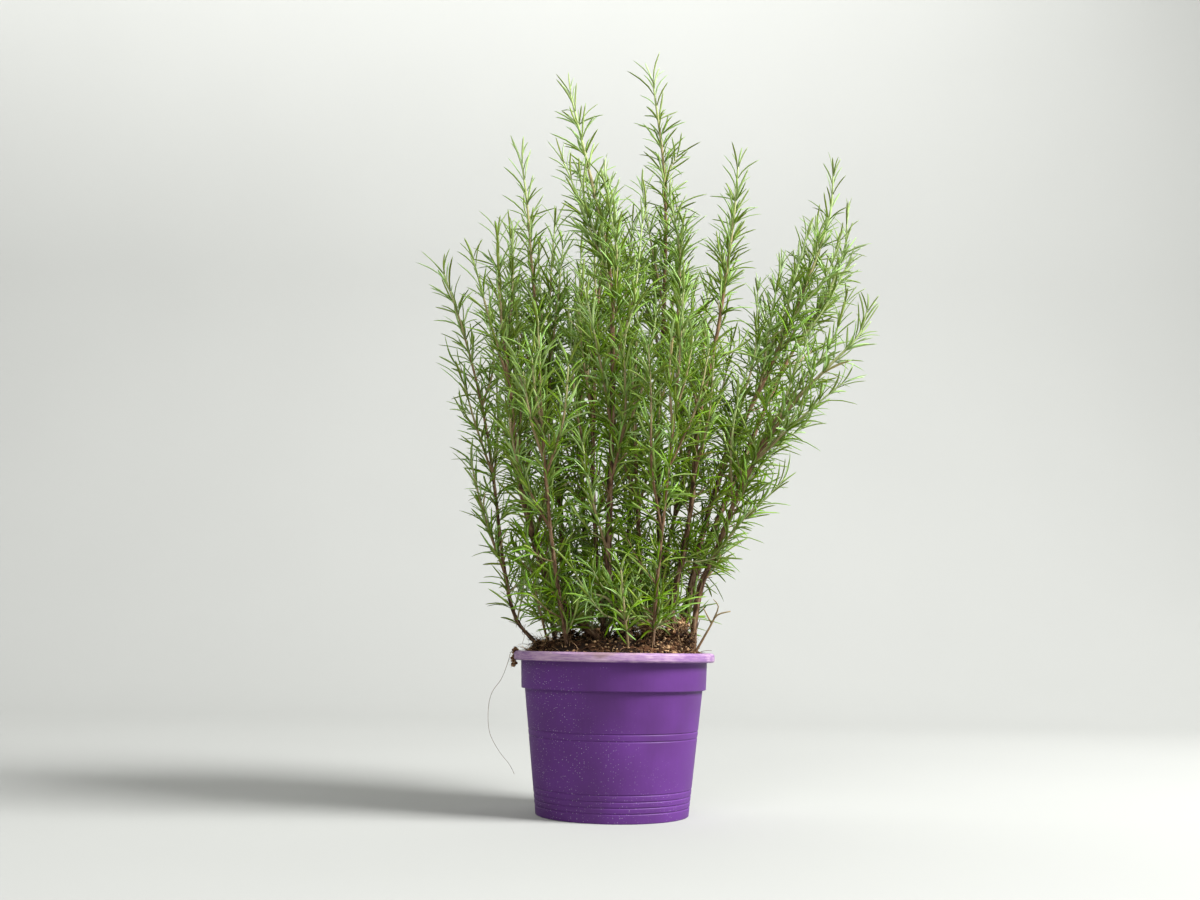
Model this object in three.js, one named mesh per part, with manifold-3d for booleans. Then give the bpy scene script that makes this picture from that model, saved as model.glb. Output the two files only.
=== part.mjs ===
// A rosemary plant in a moulded plastic pot, in millimetres, +Z up.
// The origin is the centre of the face that the pot stands on. +X is to the right and +Y is to the
// back, as seen from the side that the bushiest shoot stands on.
//
// The pieces are the pot, the growing mix that fills it, one leafy shoot for each stem that rises
// from the mix, with the side shoots that grew from it, and one dry twig. Each stem stands in a
// hole in the mix.
import * as THREE from 'three';
import { mergeVertices } from 'three/addons/utils/BufferGeometryUtils.js';
import Module from 'manifold-3d';

const wasm = await Module();
wasm.setup();

// ---------------------------------------------------------------------------------------------
// Driving dimensions
// ---------------------------------------------------------------------------------------------
const GAP = 0.35; // clearance between pieces that lie against each other

const POT = {
  height: 157,
  baseRadius: 75, // outside, at the foot
  shoulderHeight: 121, // the step under the collar
  shoulderRadius: 88.2,
  collarLowRadius: 91.5,
  collarTopRadius: 92.5,
  rimRadius: 100,
  lipHeight: 9, // the band that the rim shows from the side
  wall: 1.8,
  floor: 2.4,
  edge: 1, // the small bevels at the foot and on the rim
  grooves: [9, 14.5, 20, 26, 75, 81.5], // heights of the lines pressed round the wall
  grooveDepth: 0.9,
  grooveHalfWidth: 0.9,
  segments: 36,
};

const DRAIN = { holes: 8, radius: 5, circle: 56, sides: 10 };

const MIX = {
  edgeHeight: 154, // where it meets the wall of the pot
  crown: 14, // how much higher the middle stands
  steepness: 5, // how late the top bends down to the wall
  rings: [0.93, 0.84, 0.72, 0.56, 0.38, 0.2],
  heaps: [
    { x: 44, y: -20, height: 11, spread: 22 }, // loose coir thrown up by the right-hand stems
    { x: -72, y: -20, height: 5, spread: 18 },
    { x: -20, y: 34, height: 5, spread: 24 },
    { x: 30, y: 52, height: 6, spread: 20 },
  ],
  lump: 1.2, // how uneven the top is
};

const STEM = {
  sides: 3, // each side of a whorl carries two needles
  depth: 18, // how far a stem reaches down into the mix
  clearRise: 4, // how far it stands straight up before it leans
  footRadius: 3.4,
  forkRadius: 1.7, // a side shoot where it leaves its stem
  tipRadius: 0.95,
  bareFork: 16, // the length at the start of a side shoot that has no needles
  forkRoom: 7, // no needle grows nearer to a side shoot than this
};

const NEEDLE = {
  length: 23,
  lengthSpread: 3,
  tipLength: 17, // those round the tip of a shoot are still growing
  collar: 2.4, // the height of stem that a whorl grows from
  spacing: 31, // from whorl to whorl on an old stretch
  tipSpacing: 10, // from whorl to whorl at the tip
  openUp: 0.5, // how fast the spacing grows from the tip down
  tipTilt: 22, // degrees from the stem
  oldTilt: 58,
  lowTilt: 72,
  pairTilt: 9, // of two needles from one side, one leans this much more and one this much less
  tiltSpread: 8,
  turnSpread: 12,
  room: 1.5, // half the width of the free space that each needle needs
  root: 3.5, // the start of a needle, which is close to its neighbours' starts
};

const COLOURS = { pot: 0x6a3a86, mix: 0x5a3a22, leaf: 0x5f8f45, twig: 0x7a5f45 };

// Each shoot gives the place of its foot, the length above the mix that has no needles, the points
// that its stem passes through up to its tip, and its side shoots, each with the height at which it
// leaves the stem and its own points. A shoot that is thinner than the others gives its own radius
// at the foot.
const SHOOTS = [
  {
    name: 'shoot_left_outer',
    foot: [-79, -5],
    radius: 2.4,
    bare: 18,
    stem: [
      [-97, -8, 186], [-110, -12, 232], [-122, -16, 315], [-136, -20, 395], [-159, -24, 479],
      [-183, -28, 548],
    ],
    forks: [
      { from: 330, path: [[-142, -36, 380], [-154, -44, 420]] },
      { from: 400, path: [[-128, -6, 446], [-134, 2, 492]] },
    ],
  },
  {
    name: 'shoot_left_front',
    foot: [-17, -38],
    bare: 24,
    stem: [
      [-46, -44, 197], [-66, -50, 228], [-90, -56, 299], [-108, -60, 419], [-119, -58, 501],
      [-124, -54, 583],
    ],
    forks: [
      { from: 262, path: [[-68, -76, 310], [-66, -84, 352], [-70, -88, 388]] },
      { from: 415, path: [[-128, -66, 479], [-138, -68, 513], [-146, -68, 541]] },
      { from: 440, path: [[-108, -44, 515], [-111, -38, 564], [-120, -36, 598]] },
    ],
  },
  {
    name: 'shoot_left_tall',
    foot: [-48, 20],
    bare: 40,
    stem: [[-54, 26, 250], [-61, 28, 346], [-73, 26, 417], [-90, 22, 535], [-99, 18, 627], [-107, 15, 691]],
    forks: [
      { from: 400, path: [[-72, 10, 488], [-71, 4, 557], [-68, 2, 600]] },
      { from: 392, path: [[-105, 40, 496], [-120, 48, 575], [-120, 50, 632]] },
      { from: 300, path: [[-78, 8, 370], [-84, -4, 430], [-86, -8, 470]] },
    ],
  },
  {
    name: 'shoot_centre_front',
    foot: [15, -48],
    bare: 24,
    stem: [[-5, -60, 216], [-7, -72, 301], [-6, -80, 398], [-11, -82, 527], [-31, -78, 623], [-53, -72, 714]],
    forks: [
      { from: 250, path: [[-24, -92, 300], [-34, -104, 352]] },
      { from: 316, path: [[6, -92, 378], [5, -104, 452], [14, -108, 486]] },
      { from: 366, path: [[-17, -92, 426], [-31, -104, 486], [-36, -106, 507]] },
      { from: 470, path: [[-4, -98, 540], [-12, -100, 584], [-17, -99, 618]] },
      { from: 520, path: [[-36, -92, 578], [-54, -97, 620], [-64, -98, 644]] },
    ],
  },
  {
    name: 'shoot_centre_tall',
    foot: [60, 32],
    bare: 50,
    stem: [[51, 34, 221], [47, 38, 273], [44, 40, 389], [49, 36, 530], [48, 30, 661], [33, 24, 782]],
    forks: [
      { from: 404, path: [[57, 24, 472], [64, 14, 535], [63, 10, 582], [52, 8, 637]] },
      { from: 470, path: [[30, 58, 530], [26, 66, 580]] },
      { from: 520, path: [[33, 24, 594], [22, 18, 655]] },
    ],
  },
  {
    name: 'shoot_right_upright',
    foot: [62, -20],
    bare: 48,
    stem: [
      [56, -26, 199], [66, -34, 252], [74, -42, 306], [80, -48, 385], [98, -54, 475], [113, -56, 594],
      [113, -56, 660],
    ],
    forks: [
      { from: 330, path: [[88, -68, 386], [92, -78, 440]] },
      { from: 388, path: [[66, -64, 446], [60, -72, 506]] },
      { from: 492, path: [[119, -44, 581], [128, -42, 616], [125, -42, 640]] },
    ],
  },
  {
    name: 'shoot_right_tall',
    foot: [70, 12],
    bare: 56,
    stem: [
      [77, 14, 220], [91, 16, 284], [117, 18, 363], [159, 20, 452], [197, 20, 541], [224, 18, 621],
      [228, 16, 666],
    ],
    forks: [
      { from: 326, path: [[121, 4, 395], [140, -4, 458], [144, -6, 530]] },
      { from: 430, path: [[158, 0, 500], [168, -8, 556]] },
      { from: 520, path: [[208, 38, 580], [214, 46, 616]] },
      { from: 470, path: [[188, 4, 512], [216, -6, 548], [228, -10, 584]] },
    ],
  },
  {
    name: 'shoot_right_low',
    foot: [78, -9],
    bare: 60,
    stem: [
      [84, -14, 219], [102, -24, 264], [123, -34, 320], [167, -46, 395], [209, -54, 441], [237, -58, 471],
      [246, -60, 496],
    ],
    forks: [
      { from: 330, path: [[150, -26, 376], [182, -34, 425], [214, -30, 467], [231, -28, 513]] },
      { from: 250, path: [[128, -46, 292], [148, -54, 310], [164, -58, 328]] },
      { from: 296, path: [[142, -18, 340], [168, -8, 370], [188, -4, 386]] },
      { from: 344, path: [[168, -62, 376], [196, -74, 401], [218, -80, 419]] },
    ],
  },
  {
    name: 'shoot_right_back',
    foot: [62, 52],
    bare: 60,
    stem: [[92, 58, 253], [136, 66, 361], [186, 74, 473], [232, 76, 553], [251, 74, 605], [253, 72, 639]],
    forks: [
      { from: 330, path: [[156, 90, 384], [188, 100, 436]] },
      { from: 420, path: [[164, 90, 480], [166, 98, 536]] },
      { from: 490, path: [[226, 98, 530], [244, 104, 572]] },
    ],
  },
  {
    name: 'shoot_back_left',
    foot: [-60, 48],
    bare: 34,
    stem: [[-76, 66, 240], [-98, 90, 340], [-112, 106, 440], [-120, 112, 534]],
    forks: [
      { from: 290, path: [[-110, 64, 350], [-128, 66, 416]] },
      { from: 350, path: [[-84, 110, 420], [-80, 120, 490]] },
    ],
  },
  {
    name: 'shoot_back_centre_left',
    foot: [-28, 54],
    bare: 34,
    stem: [[-32, 76, 260], [-38, 98, 380], [-44, 112, 500], [-42, 118, 610]],
    forks: [
      { from: 320, path: [[-58, 84, 390], [-66, 84, 456]] },
      { from: 430, path: [[-24, 90, 500], [-18, 82, 560]] },
      { from: 360, path: [[-20, 122, 430], [-14, 134, 500]] },
    ],
  },
  {
    name: 'shoot_back_centre',
    foot: [14, 70],
    bare: 34,
    stem: [[14, 90, 250], [18, 110, 370], [16, 124, 490], [8, 130, 596]],
    forks: [
      { from: 340, path: [[40, 124, 410], [50, 132, 480]] },
      { from: 300, path: [[4, 72, 370], [0, 66, 440]] },
      { from: 430, path: [[-4, 142, 490], [-10, 150, 550]] },
    ],
  },
  {
    name: 'shoot_back_right',
    foot: [38, 72],
    bare: 34,
    stem: [[54, 92, 250], [78, 114, 360], [96, 128, 460], [104, 132, 570]],
    forks: [
      { from: 300, path: [[90, 88, 360], [108, 86, 430]] },
      { from: 380, path: [[116, 122, 440], [130, 122, 504]] },
      { from: 430, path: [[84, 106, 500], [84, 98, 556]] },
    ],
  },
  {
    name: 'shoot_middle',
    foot: [-10, 4],
    bare: 40,
    stem: [[-18, 6, 240], [-24, 4, 340], [-24, -2, 440], [-20, -4, 540], [-12, -2, 640]],
    forks: [
      { from: 330, path: [[-42, -14, 400], [-48, -20, 468]] },
      { from: 430, path: [[4, 14, 500], [8, 22, 566]] },
      { from: 290, path: [[0, 22, 350], [6, 32, 416]] },
    ],
  },
  {
    name: 'shoot_front_right',
    foot: [36, -62],
    bare: 24,
    stem: [[40, -76, 236], [48, -94, 330], [56, -106, 420], [60, -112, 500]],
    forks: [
      { from: 270, path: [[32, -98, 330], [30, -108, 400], [27, -110, 446]] },
      { from: 330, path: [[74, -98, 390], [86, -98, 446]] },
    ],
  },
  {
    name: 'shoot_front_left',
    foot: [-46, -58],
    bare: 20,
    stem: [[-58, -76, 235], [-68, -96, 320], [-74, -110, 400], [-78, -118, 470]],
    forks: [
      { from: 270, path: [[-94, -92, 330], [-106, -96, 386]] },
      { from: 320, path: [[-52, -114, 372], [-48, -120, 424]] },
    ],
  },
  {
    name: 'shoot_inner_right',
    foot: [30, 10],
    bare: 40,
    stem: [[26, 8, 240], [20, 4, 340], [18, 6, 440], [20, 10, 520]],
    forks: [{ from: 300, path: [[40, -6, 370], [44, -12, 440]] }],
  },
  {
    name: 'sprig_front',
    foot: [12, -76],
    radius: 1.6,
    bare: 10,
    stem: [[8, -86, 196], [4, -94, 236]],
    forks: [],
  },
  {
    name: 'sprig_left',
    foot: [-66, -32],
    radius: 1.6,
    bare: 12,
    stem: [[-74, -44, 200], [-88, -56, 262]],
    forks: [],
  },
  {
    name: 'sprig_back',
    foot: [-4, 82],
    radius: 1.6,
    bare: 12,
    stem: [[-8, 98, 210], [-10, 112, 268]],
    forks: [],
  },
];

// A twig that has dried out and lost its needles, with its own forks.
const DRY_TWIG = {
  name: 'dry_twig',
  foot: [80, -34],
  radius: 1.3,
  tipRadius: 0.7,
  stem: [[92, -38, 182], [99, -40, 194], [112, -42, 198]],
  forks: [
    { from: 190, path: [[100, -44, 203], [95, -46, 209]] },
    { from: 186, path: [[91, -34, 192], [86, -32, 202]] },
  ],
};

// ---------------------------------------------------------------------------------------------
// Solids
// ---------------------------------------------------------------------------------------------
function solidOf(geometry) {
  const bare = geometry.clone();
  bare.deleteAttribute('normal');
  bare.deleteAttribute('uv');
  const merged = mergeVertices(bare, 1e-4);
  const corners = merged.index.array;
  const faces = [];
  for (let i = 0; i < corners.length; i += 3) {
    const [a, b, c] = corners.slice(i, i + 3);
    if (a !== b && b !== c && c !== a) faces.push(a, b, c);
  }
  return new wasm.Manifold(new wasm.Mesh({
    numProp: 3,
    vertProperties: new Float32Array(merged.attributes.position.array),
    triVerts: new Uint32Array(faces),
  }));
}

function meshOf(name, solid, colour, roughness) {
  const { vertProperties, triVerts } = solid.getMesh();
  const geometry = new THREE.BufferGeometry();
  geometry.setAttribute('position', new THREE.BufferAttribute(new Float32Array(vertProperties), 3));
  geometry.setIndex(new THREE.BufferAttribute(new Uint32Array(triVerts), 1));
  geometry.computeVertexNormals();
  const material = new THREE.MeshStandardMaterial({ color: colour, roughness, metalness: 0 });
  const mesh = new THREE.Mesh(geometry, material);
  mesh.name = name;
  return mesh;
}

// Turns an outline of [radius, height] pairs round the Z axis.
function revolve(outline) {
  const points = outline.map(([radius, height]) => new THREE.Vector2(radius, height));
  return new THREE.LatheGeometry(points, POT.segments).rotateX(Math.PI / 2);
}

// The same seed gives the same row of numbers between 0 and 1 each time.
function seededRandom(seed) {
  let state = seed >>> 0;
  return () => {
    state = (state + 0x6d2b79f5) >>> 0;
    let mixed = Math.imul(state ^ (state >>> 15), state | 1);
    mixed ^= mixed + Math.imul(mixed ^ (mixed >>> 7), mixed | 61);
    return ((mixed ^ (mixed >>> 14)) >>> 0) / 2 ** 32;
  };
}

// ---------------------------------------------------------------------------------------------
// The pot
// ---------------------------------------------------------------------------------------------
function bodyRadius(height) {
  return POT.baseRadius + (POT.shoulderRadius - POT.baseRadius) * (height / POT.shoulderHeight);
}

function groovePoints(height) {
  const half = POT.grooveHalfWidth;
  return [
    [bodyRadius(height - half), height - half],
    [bodyRadius(height) - POT.grooveDepth, height],
    [bodyRadius(height + half), height + half],
  ];
}

// The inside of the pot, from the rim down to the floor.
function innerOutline() {
  const collarRise = POT.shoulderHeight + POT.wall;
  return [
    [POT.collarTopRadius - POT.wall, POT.height - POT.edge],
    [POT.collarLowRadius - POT.wall, collarRise],
    [bodyRadius(POT.shoulderHeight) - POT.wall, POT.shoulderHeight - POT.wall],
    [bodyRadius(POT.floor) - POT.wall, POT.floor],
  ];
}

function makePot() {
  const lipBottom = POT.height - POT.lipHeight;
  const wall = solidOf(revolve([
    [0, 0],
    [POT.baseRadius - POT.edge, 0],
    [bodyRadius(POT.edge), POT.edge],
    ...POT.grooves.flatMap(groovePoints),
    [POT.shoulderRadius, POT.shoulderHeight],
    [POT.collarLowRadius, POT.shoulderHeight + POT.edge],
    [POT.collarTopRadius, lipBottom],
    [POT.rimRadius - POT.edge, lipBottom],
    [POT.rimRadius, lipBottom + POT.edge],
    [POT.rimRadius, POT.height - POT.edge],
    [POT.rimRadius - POT.edge, POT.height],
    [POT.collarTopRadius, POT.height],
    ...innerOutline(),
    [0, POT.floor],
  ]));
  const drill = solidOf(
    new THREE.CylinderGeometry(DRAIN.radius, DRAIN.radius, POT.floor * 3, DRAIN.sides).rotateX(Math.PI / 2),
  );
  let pot = wall;
  for (let hole = 0; hole < DRAIN.holes; hole += 1) {
    const angle = (hole / DRAIN.holes) * 2 * Math.PI;
    pot = pot.subtract(drill.translate([DRAIN.circle * Math.cos(angle), DRAIN.circle * Math.sin(angle), 0]));
  }
  return pot;
}

// ---------------------------------------------------------------------------------------------
// The growing mix
// ---------------------------------------------------------------------------------------------
const MIX_RADIUS = POT.collarTopRadius - POT.wall - GAP;

function mixTop(x, y) {
  const share = Math.min(Math.hypot(x, y) / MIX_RADIUS, 1);
  const dome = 1 - share ** MIX.steepness;
  const heaps = MIX.heaps.reduce(
    (sum, heap) => sum + heap.height * Math.exp(-((x - heap.x) ** 2 + (y - heap.y) ** 2) / heap.spread ** 2),
    0,
  );
  const lumps = MIX.lump * Math.sin(x * 0.13 + 1) * Math.cos(y * 0.17);
  return MIX.edgeHeight + MIX.crown * dome + (heaps + lumps) * (1 - share ** 6);
}

function makeMix() {
  const points = [];
  const faces = [];
  const count = POT.segments;
  const addRing = (radius, heightAt) => {
    const start = points.length / 3;
    for (let i = 0; i < count; i += 1) {
      // LatheGeometry starts at the +Z side of its own axis, which is -Y here
      const angle = (i / count) * 2 * Math.PI - Math.PI / 2;
      const x = radius * Math.cos(angle);
      const y = radius * Math.sin(angle);
      points.push(x, y, heightAt(x, y));
    }
    return start;
  };
  const addPoint = (z) => points.push(0, 0, z) / 3 - 1;
  const wallRings = innerOutline().map(([radius, height]) => [radius - GAP, height]).reverse();
  wallRings[0][1] += GAP;
  wallRings[2][1] += GAP;
  wallRings[3] = [MIX_RADIUS, MIX.edgeHeight];
  const rings = wallRings.map(([radius, height]) => addRing(radius, () => height));
  MIX.rings.forEach((share) => rings.push(addRing(share * MIX_RADIUS, mixTop)));
  for (let ring = 0; ring + 1 < rings.length; ring += 1) {
    for (let i = 0; i < count; i += 1) {
      const next = (i + 1) % count;
      const [a, b] = [rings[ring] + i, rings[ring] + next];
      const [c, d] = [rings[ring + 1] + next, rings[ring + 1] + i];
      faces.push(a, b, c, a, c, d);
    }
  }
  const bottom = addPoint(wallRings[0][1]);
  const top = addPoint(mixTop(0, 0));
  for (let i = 0; i < count; i += 1) {
    const next = (i + 1) % count;
    faces.push(bottom, rings[0] + next, rings[0] + i);
    faces.push(top, rings.at(-1) + i, rings.at(-1) + next);
  }
  return new wasm.Manifold(new wasm.Mesh({
    numProp: 3,
    vertProperties: new Float32Array(points),
    triVerts: new Uint32Array(faces),
  }));
}

// ---------------------------------------------------------------------------------------------
// Leafy stems
// ---------------------------------------------------------------------------------------------
const UP = new THREE.Vector3(0, 0, 1);
const BACK = new THREE.Vector3(0, 1, 0);
const SIDE_ANGLE = (2 * Math.PI) / STEM.sides;

// A place on a stem: its middle, the way the stem runs there, its radius, and how far its
// three-sided section is turned.
class Station {
  constructor(point, along, radius, turn = 0) {
    this.point = point;
    this.along = along;
    this.radius = radius;
    this.turn = turn;
    this.back = BACK.clone().addScaledVector(along, -BACK.dot(along)).normalize();
    this.right = this.back.clone().cross(along);
  }

  outward(angle) {
    return this.right.clone().multiplyScalar(Math.cos(angle)).addScaledVector(this.back, Math.sin(angle));
  }

  corners() {
    return Array.from({ length: STEM.sides }, (_, side) =>
      this.point.clone().addScaledVector(this.outward(this.turn + side * SIDE_ANGLE), this.radius));
  }

  moved(distance, radius = this.radius) {
    const point = this.point.clone().addScaledVector(this.along, distance);
    return new Station(point, this.along, radius, this.turn);
  }
}

// Every stretch of stem and every needle so far, so that a new needle can keep clear of them.
class Thicket {
  constructor() {
    this.taken = [];
    this.nearest = [new THREE.Vector3(), new THREE.Vector3()];
  }

  add(from, to, radius, owner) {
    this.taken.push({ line: new THREE.Line3(from, to), radius, owner });
  }

  isClear(line, radius, owners) {
    return this.taken.every((other) => owners.includes(other.owner)
      || other.line.distanceSqToLine3(line, ...this.nearest) > (radius + other.radius) ** 2);
  }
}

// A needle keeps off the mix and off the rim of the pot.
function isOutsidePot(point) {
  const margin = NEEDLE.room * 2;
  if (Math.hypot(point.x, point.y) > POT.rimRadius + margin) return true;
  return point.z > Math.max(mixTop(point.x, point.y), POT.height) + margin;
}

// One closed skin: a three-sided stem, and the needles raised from its sides.
class LeafySkin {
  constructor() {
    this.points = [];
    this.faces = [];
  }

  addPoint(point) {
    return this.points.push(point.x, point.y, point.z) / 3 - 1;
  }

  addRing(station) {
    return station.corners().map((corner) => this.addPoint(corner));
  }

  addQuad([a, b, c, d]) {
    this.faces.push(a, b, c, a, c, d);
  }

  // Raises a spike from a ring of corners
  addSpike(ring, point) {
    const top = this.addPoint(point);
    ring.forEach((corner, index) => this.faces.push(corner, ring[(index + 1) % ring.length], top));
  }

  addFoot([first, ...others]) {
    others.slice(1).forEach((corner, index) => this.faces.push(first, corner, others[index]));
  }

  addStraightBand(lower, upper) {
    lower.forEach((_, side) => this.addQuad(rootOf(lower, upper, side)));
  }

  // Joins two rings that are turned by half a side against each other
  addTurnedBand(lower, upper) {
    lower.forEach((corner, side) => {
      const next = (side + 1) % STEM.sides;
      this.faces.push(corner, lower[next], upper[side], lower[next], upper[next], upper[side]);
    });
  }

  toSolid() {
    return new wasm.Manifold(new wasm.Mesh({
      numProp: 3,
      vertProperties: new Float32Array(this.points),
      triVerts: new Uint32Array(this.faces),
    }));
  }
}

// The four corners of one side of a stretch of stem between two rings
function rootOf(lower, upper, side) {
  const next = (side + 1) % STEM.sides;
  return [lower[side], lower[next], upper[next], upper[side]];
}

// Each side of a whorl is two faces, and a needle grows from each: the low one leans further out
function rootsOf(lower, upper, turn) {
  return lower.flatMap((_, side) => {
    const [a, b, c, d] = rootOf(lower, upper, side);
    const middle = turn + (side + 0.5) * SIDE_ANGLE;
    return [
      { root: [a, b, c], angle: middle + SIDE_ANGLE / 4, lean: NEEDLE.pairTilt },
      { root: [a, c, d], angle: middle - SIDE_ANGLE / 4, lean: -NEEDLE.pairTilt },
    ];
  });
}

// How far from the tip each whorl of needles grows, for a leafy stretch of this length
function whorlDistances(leafyLength) {
  const distances = [];
  for (let distance = 0; distance < leafyLength;) {
    distances.push(distance);
    distance += Math.min(NEEDLE.tipSpacing + NEEDLE.openUp * distance, NEEDLE.spacing);
  }
  return distances;
}

// A stem or side shoot, before its needles: where its rings go, from its foot to its tip
class Branch {
  constructor(owner, start, points, radius, tipRadius, bare, forkHeights = []) {
    this.owner = owner;
    this.curve = new THREE.CatmullRomCurve3(points, false, 'centripetal');
    this.length = this.curve.getLength();
    this.radius = radius;
    this.tipRadius = tipRadius;
    this.start = start;
    const nearFork = (distance) => {
      const { z } = this.curve.getPointAt(1 - distance / this.length);
      return forkHeights.some((height) => Math.abs(height - z) < STEM.forkRoom);
    };
    this.whorls = whorlDistances(this.length - bare)
      .filter((distance) => !nearFork(distance))
      .map((distance) => ({ distance, station: this.stationAt(distance) }))
      .reverse();
    this.whorls.forEach(({ station }, index) => {
      station.turn = ((index + 1) * SIDE_ANGLE) / 2;
    });
  }

  radiusAt(distance) {
    return THREE.MathUtils.lerp(this.tipRadius, this.radius, (distance / this.length) ** 0.8);
  }

  stationAt(distance) {
    const share = THREE.MathUtils.clamp(1 - (distance + NEEDLE.collar / 2) / this.length, 0, 1);
    return new Station(this.curve.getPointAt(share), this.curve.getTangentAt(share), this.radiusAt(distance));
  }

  takeRoom(thicket) {
    const stations = [...this.start, ...this.whorls.map(({ station }) => station)];
    stations.slice(1).forEach((station, index) => {
      const below = stations[index];
      thicket.add(below.point, station.point, below.radius, this.owner);
    });
  }
}

function degrees(angle) {
  return THREE.MathUtils.degToRad(angle);
}

// How far a needle leans off its stem, at a distance from the tip of the shoot
function tiltAt(distance) {
  const grown = 1 - Math.exp(-distance / 90);
  const old = THREE.MathUtils.smoothstep(distance, 220, 420);
  return NEEDLE.tipTilt + (NEEDLE.oldTilt - NEEDLE.tipTilt) * grown + (NEEDLE.lowTilt - NEEDLE.oldTilt) * old;
}

// Finds a way for one needle past everything that is there, or gives up on it
function findNeedle(station, angle, lean, distance, thicket, owners, random) {
  const growth = THREE.MathUtils.smoothstep(distance, 0, 60);
  const fullLength = THREE.MathUtils.lerp(NEEDLE.tipLength, NEEDLE.length, growth);
  for (const share of [1, 1, 1, 0.85, 0.85, 0.7]) {
    const turn = angle + degrees(NEEDLE.turnSpread) * (2 * random() - 1);
    const tilt = degrees(tiltAt(distance) + lean + NEEDLE.tiltSpread * (2 * random() - 1));
    const length = share * (fullLength + NEEDLE.lengthSpread * (2 * random() - 1));
    const outward = station.outward(turn);
    const way = station.along.clone().multiplyScalar(Math.cos(tilt)).addScaledVector(outward, Math.sin(tilt));
    const root = station.point.clone().addScaledVector(outward, station.radius * Math.cos(SIDE_ANGLE / 2));
    const tip = root.clone().addScaledVector(way, length);
    const free = root.clone().addScaledVector(way, NEEDLE.root);
    const needle = new THREE.Line3(free, tip);
    if (isOutsidePot(tip) && isOutsidePot(free) && thicket.isClear(needle, NEEDLE.room, owners)) {
      return needle;
    }
  }
  return null;
}

function growNeedles(branch, thicket, random) {
  const skin = new LeafySkin();
  const startRings = branch.start.map((station) => skin.addRing(station));
  skin.addFoot(startRings[0]);
  startRings.slice(1).forEach((ring, index) => skin.addStraightBand(startRings[index], ring));
  let below = startRings.at(-1);
  branch.whorls.forEach(({ station, distance }, index) => {
    const whorl = `${branch.owner}_${index}`;
    const lower = skin.addRing(station.moved(-NEEDLE.collar / 2));
    const upper = skin.addRing(station.moved(NEEDLE.collar / 2));
    skin.addTurnedBand(below, lower);
    rootsOf(lower, upper, station.turn).forEach(({ root, angle, lean }) => {
      const needle = findNeedle(station, angle, lean, distance, thicket, [branch.owner, whorl], random);
      if (needle) {
        skin.addSpike(root, needle.end);
        thicket.add(needle.start, needle.end, NEEDLE.room, whorl);
      } else {
        skin.faces.push(...root);
      }
    });
    below = upper;
  });
  skin.addSpike(below, branch.whorls.at(-1).station.moved(NEEDLE.tipLength).point);
  return skin.toSolid();
}

// Where a stem stands in the mix: its foot, and the top of the stretch that stands straight up
function footStations(x, y, radius) {
  const surface = mixTop(x, y);
  return [surface - STEM.depth, surface + STEM.clearRise].map(
    (z) => new Station(new THREE.Vector3(x, y, z), UP, radius),
  );
}

function pointAtHeight(curve, height) {
  let [low, high] = [0, 1];
  for (let step = 0; step < 30; step += 1) {
    const middle = (low + high) / 2;
    if (curve.getPointAt(middle).z < height) low = middle;
    else high = middle;
  }
  return curve.getPointAt(low);
}

// The stem of one shoot and its side shoots
function planShoot({ name, foot, bare, stem, forks, radius = STEM.footRadius }) {
  const start = footStations(...foot, radius);
  const points = [start[1].point, ...stem.map((point) => new THREE.Vector3(...point))];
  const heights = forks.map(({ from }) => from);
  const main = new Branch(name, start, points, radius, STEM.tipRadius, bare, heights);
  const sides = forks.map(({ from, path }, index) => {
    const base = pointAtHeight(main.curve, from);
    const sidePoints = [base, ...path.map((point) => new THREE.Vector3(...point))];
    const along = sidePoints[1].clone().sub(base).normalize();
    const sideStart = [new Station(base, along, STEM.tipRadius)];
    const owner = `${name}_${index}`;
    return new Branch(owner, sideStart, sidePoints, STEM.forkRadius, STEM.tipRadius, STEM.bareFork);
  });
  return { name, branches: [main, ...sides] };
}

function makeShoots() {
  const thicket = new Thicket();
  const plans = SHOOTS.map(planShoot);
  plans.forEach(({ branches }) => branches.forEach((branch) => branch.takeRoom(thicket)));
  return plans.map(({ name, branches }, index) => {
    const random = seededRandom(index + 1);
    const solids = branches.map((branch) => growNeedles(branch, thicket, random));
    return { name, foot: branches[0].start, solid: solids.reduce((whole, side) => whole.add(side)) };
  });
}

// ---------------------------------------------------------------------------------------------
// The whole plant
// ---------------------------------------------------------------------------------------------
// A plain stem through a row of stations, closed at both ends
function plainStem(stations) {
  const skin = new LeafySkin();
  const rings = stations.map((station) => skin.addRing(station));
  skin.addFoot(rings[0]);
  rings.slice(1).forEach((ring, index) => skin.addStraightBand(rings[index], ring));
  skin.addSpike(rings.at(-1), stations.at(-1).point);
  return skin.toSolid();
}

function makeDryTwig() {
  const start = footStations(...DRY_TWIG.foot, DRY_TWIG.radius);
  const middle = DRY_TWIG.stem.map((point) => new THREE.Vector3(...point));
  const curve = new THREE.CatmullRomCurve3([start[1].point, ...middle], false, 'centripetal');
  const rings = (along, fromRadius, shares) => shares.map((share) => new Station(
    along.getPointAt(share),
    along.getTangentAt(share),
    THREE.MathUtils.lerp(fromRadius, DRY_TWIG.tipRadius, share),
  ));
  let twig = plainStem([...start, ...rings(curve, DRY_TWIG.radius, [0.25, 0.5, 0.75, 1])]);
  DRY_TWIG.forks.forEach(({ from, path }) => {
    const points = [pointAtHeight(curve, from), ...path.map((point) => new THREE.Vector3(...point))];
    const fork = new THREE.CatmullRomCurve3(points, false, 'centripetal');
    twig = twig.add(plainStem(rings(fork, DRY_TWIG.radius * 0.8, [0, 0.5, 1])));
  });
  return { name: DRY_TWIG.name, foot: start, solid: twig };
}

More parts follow.
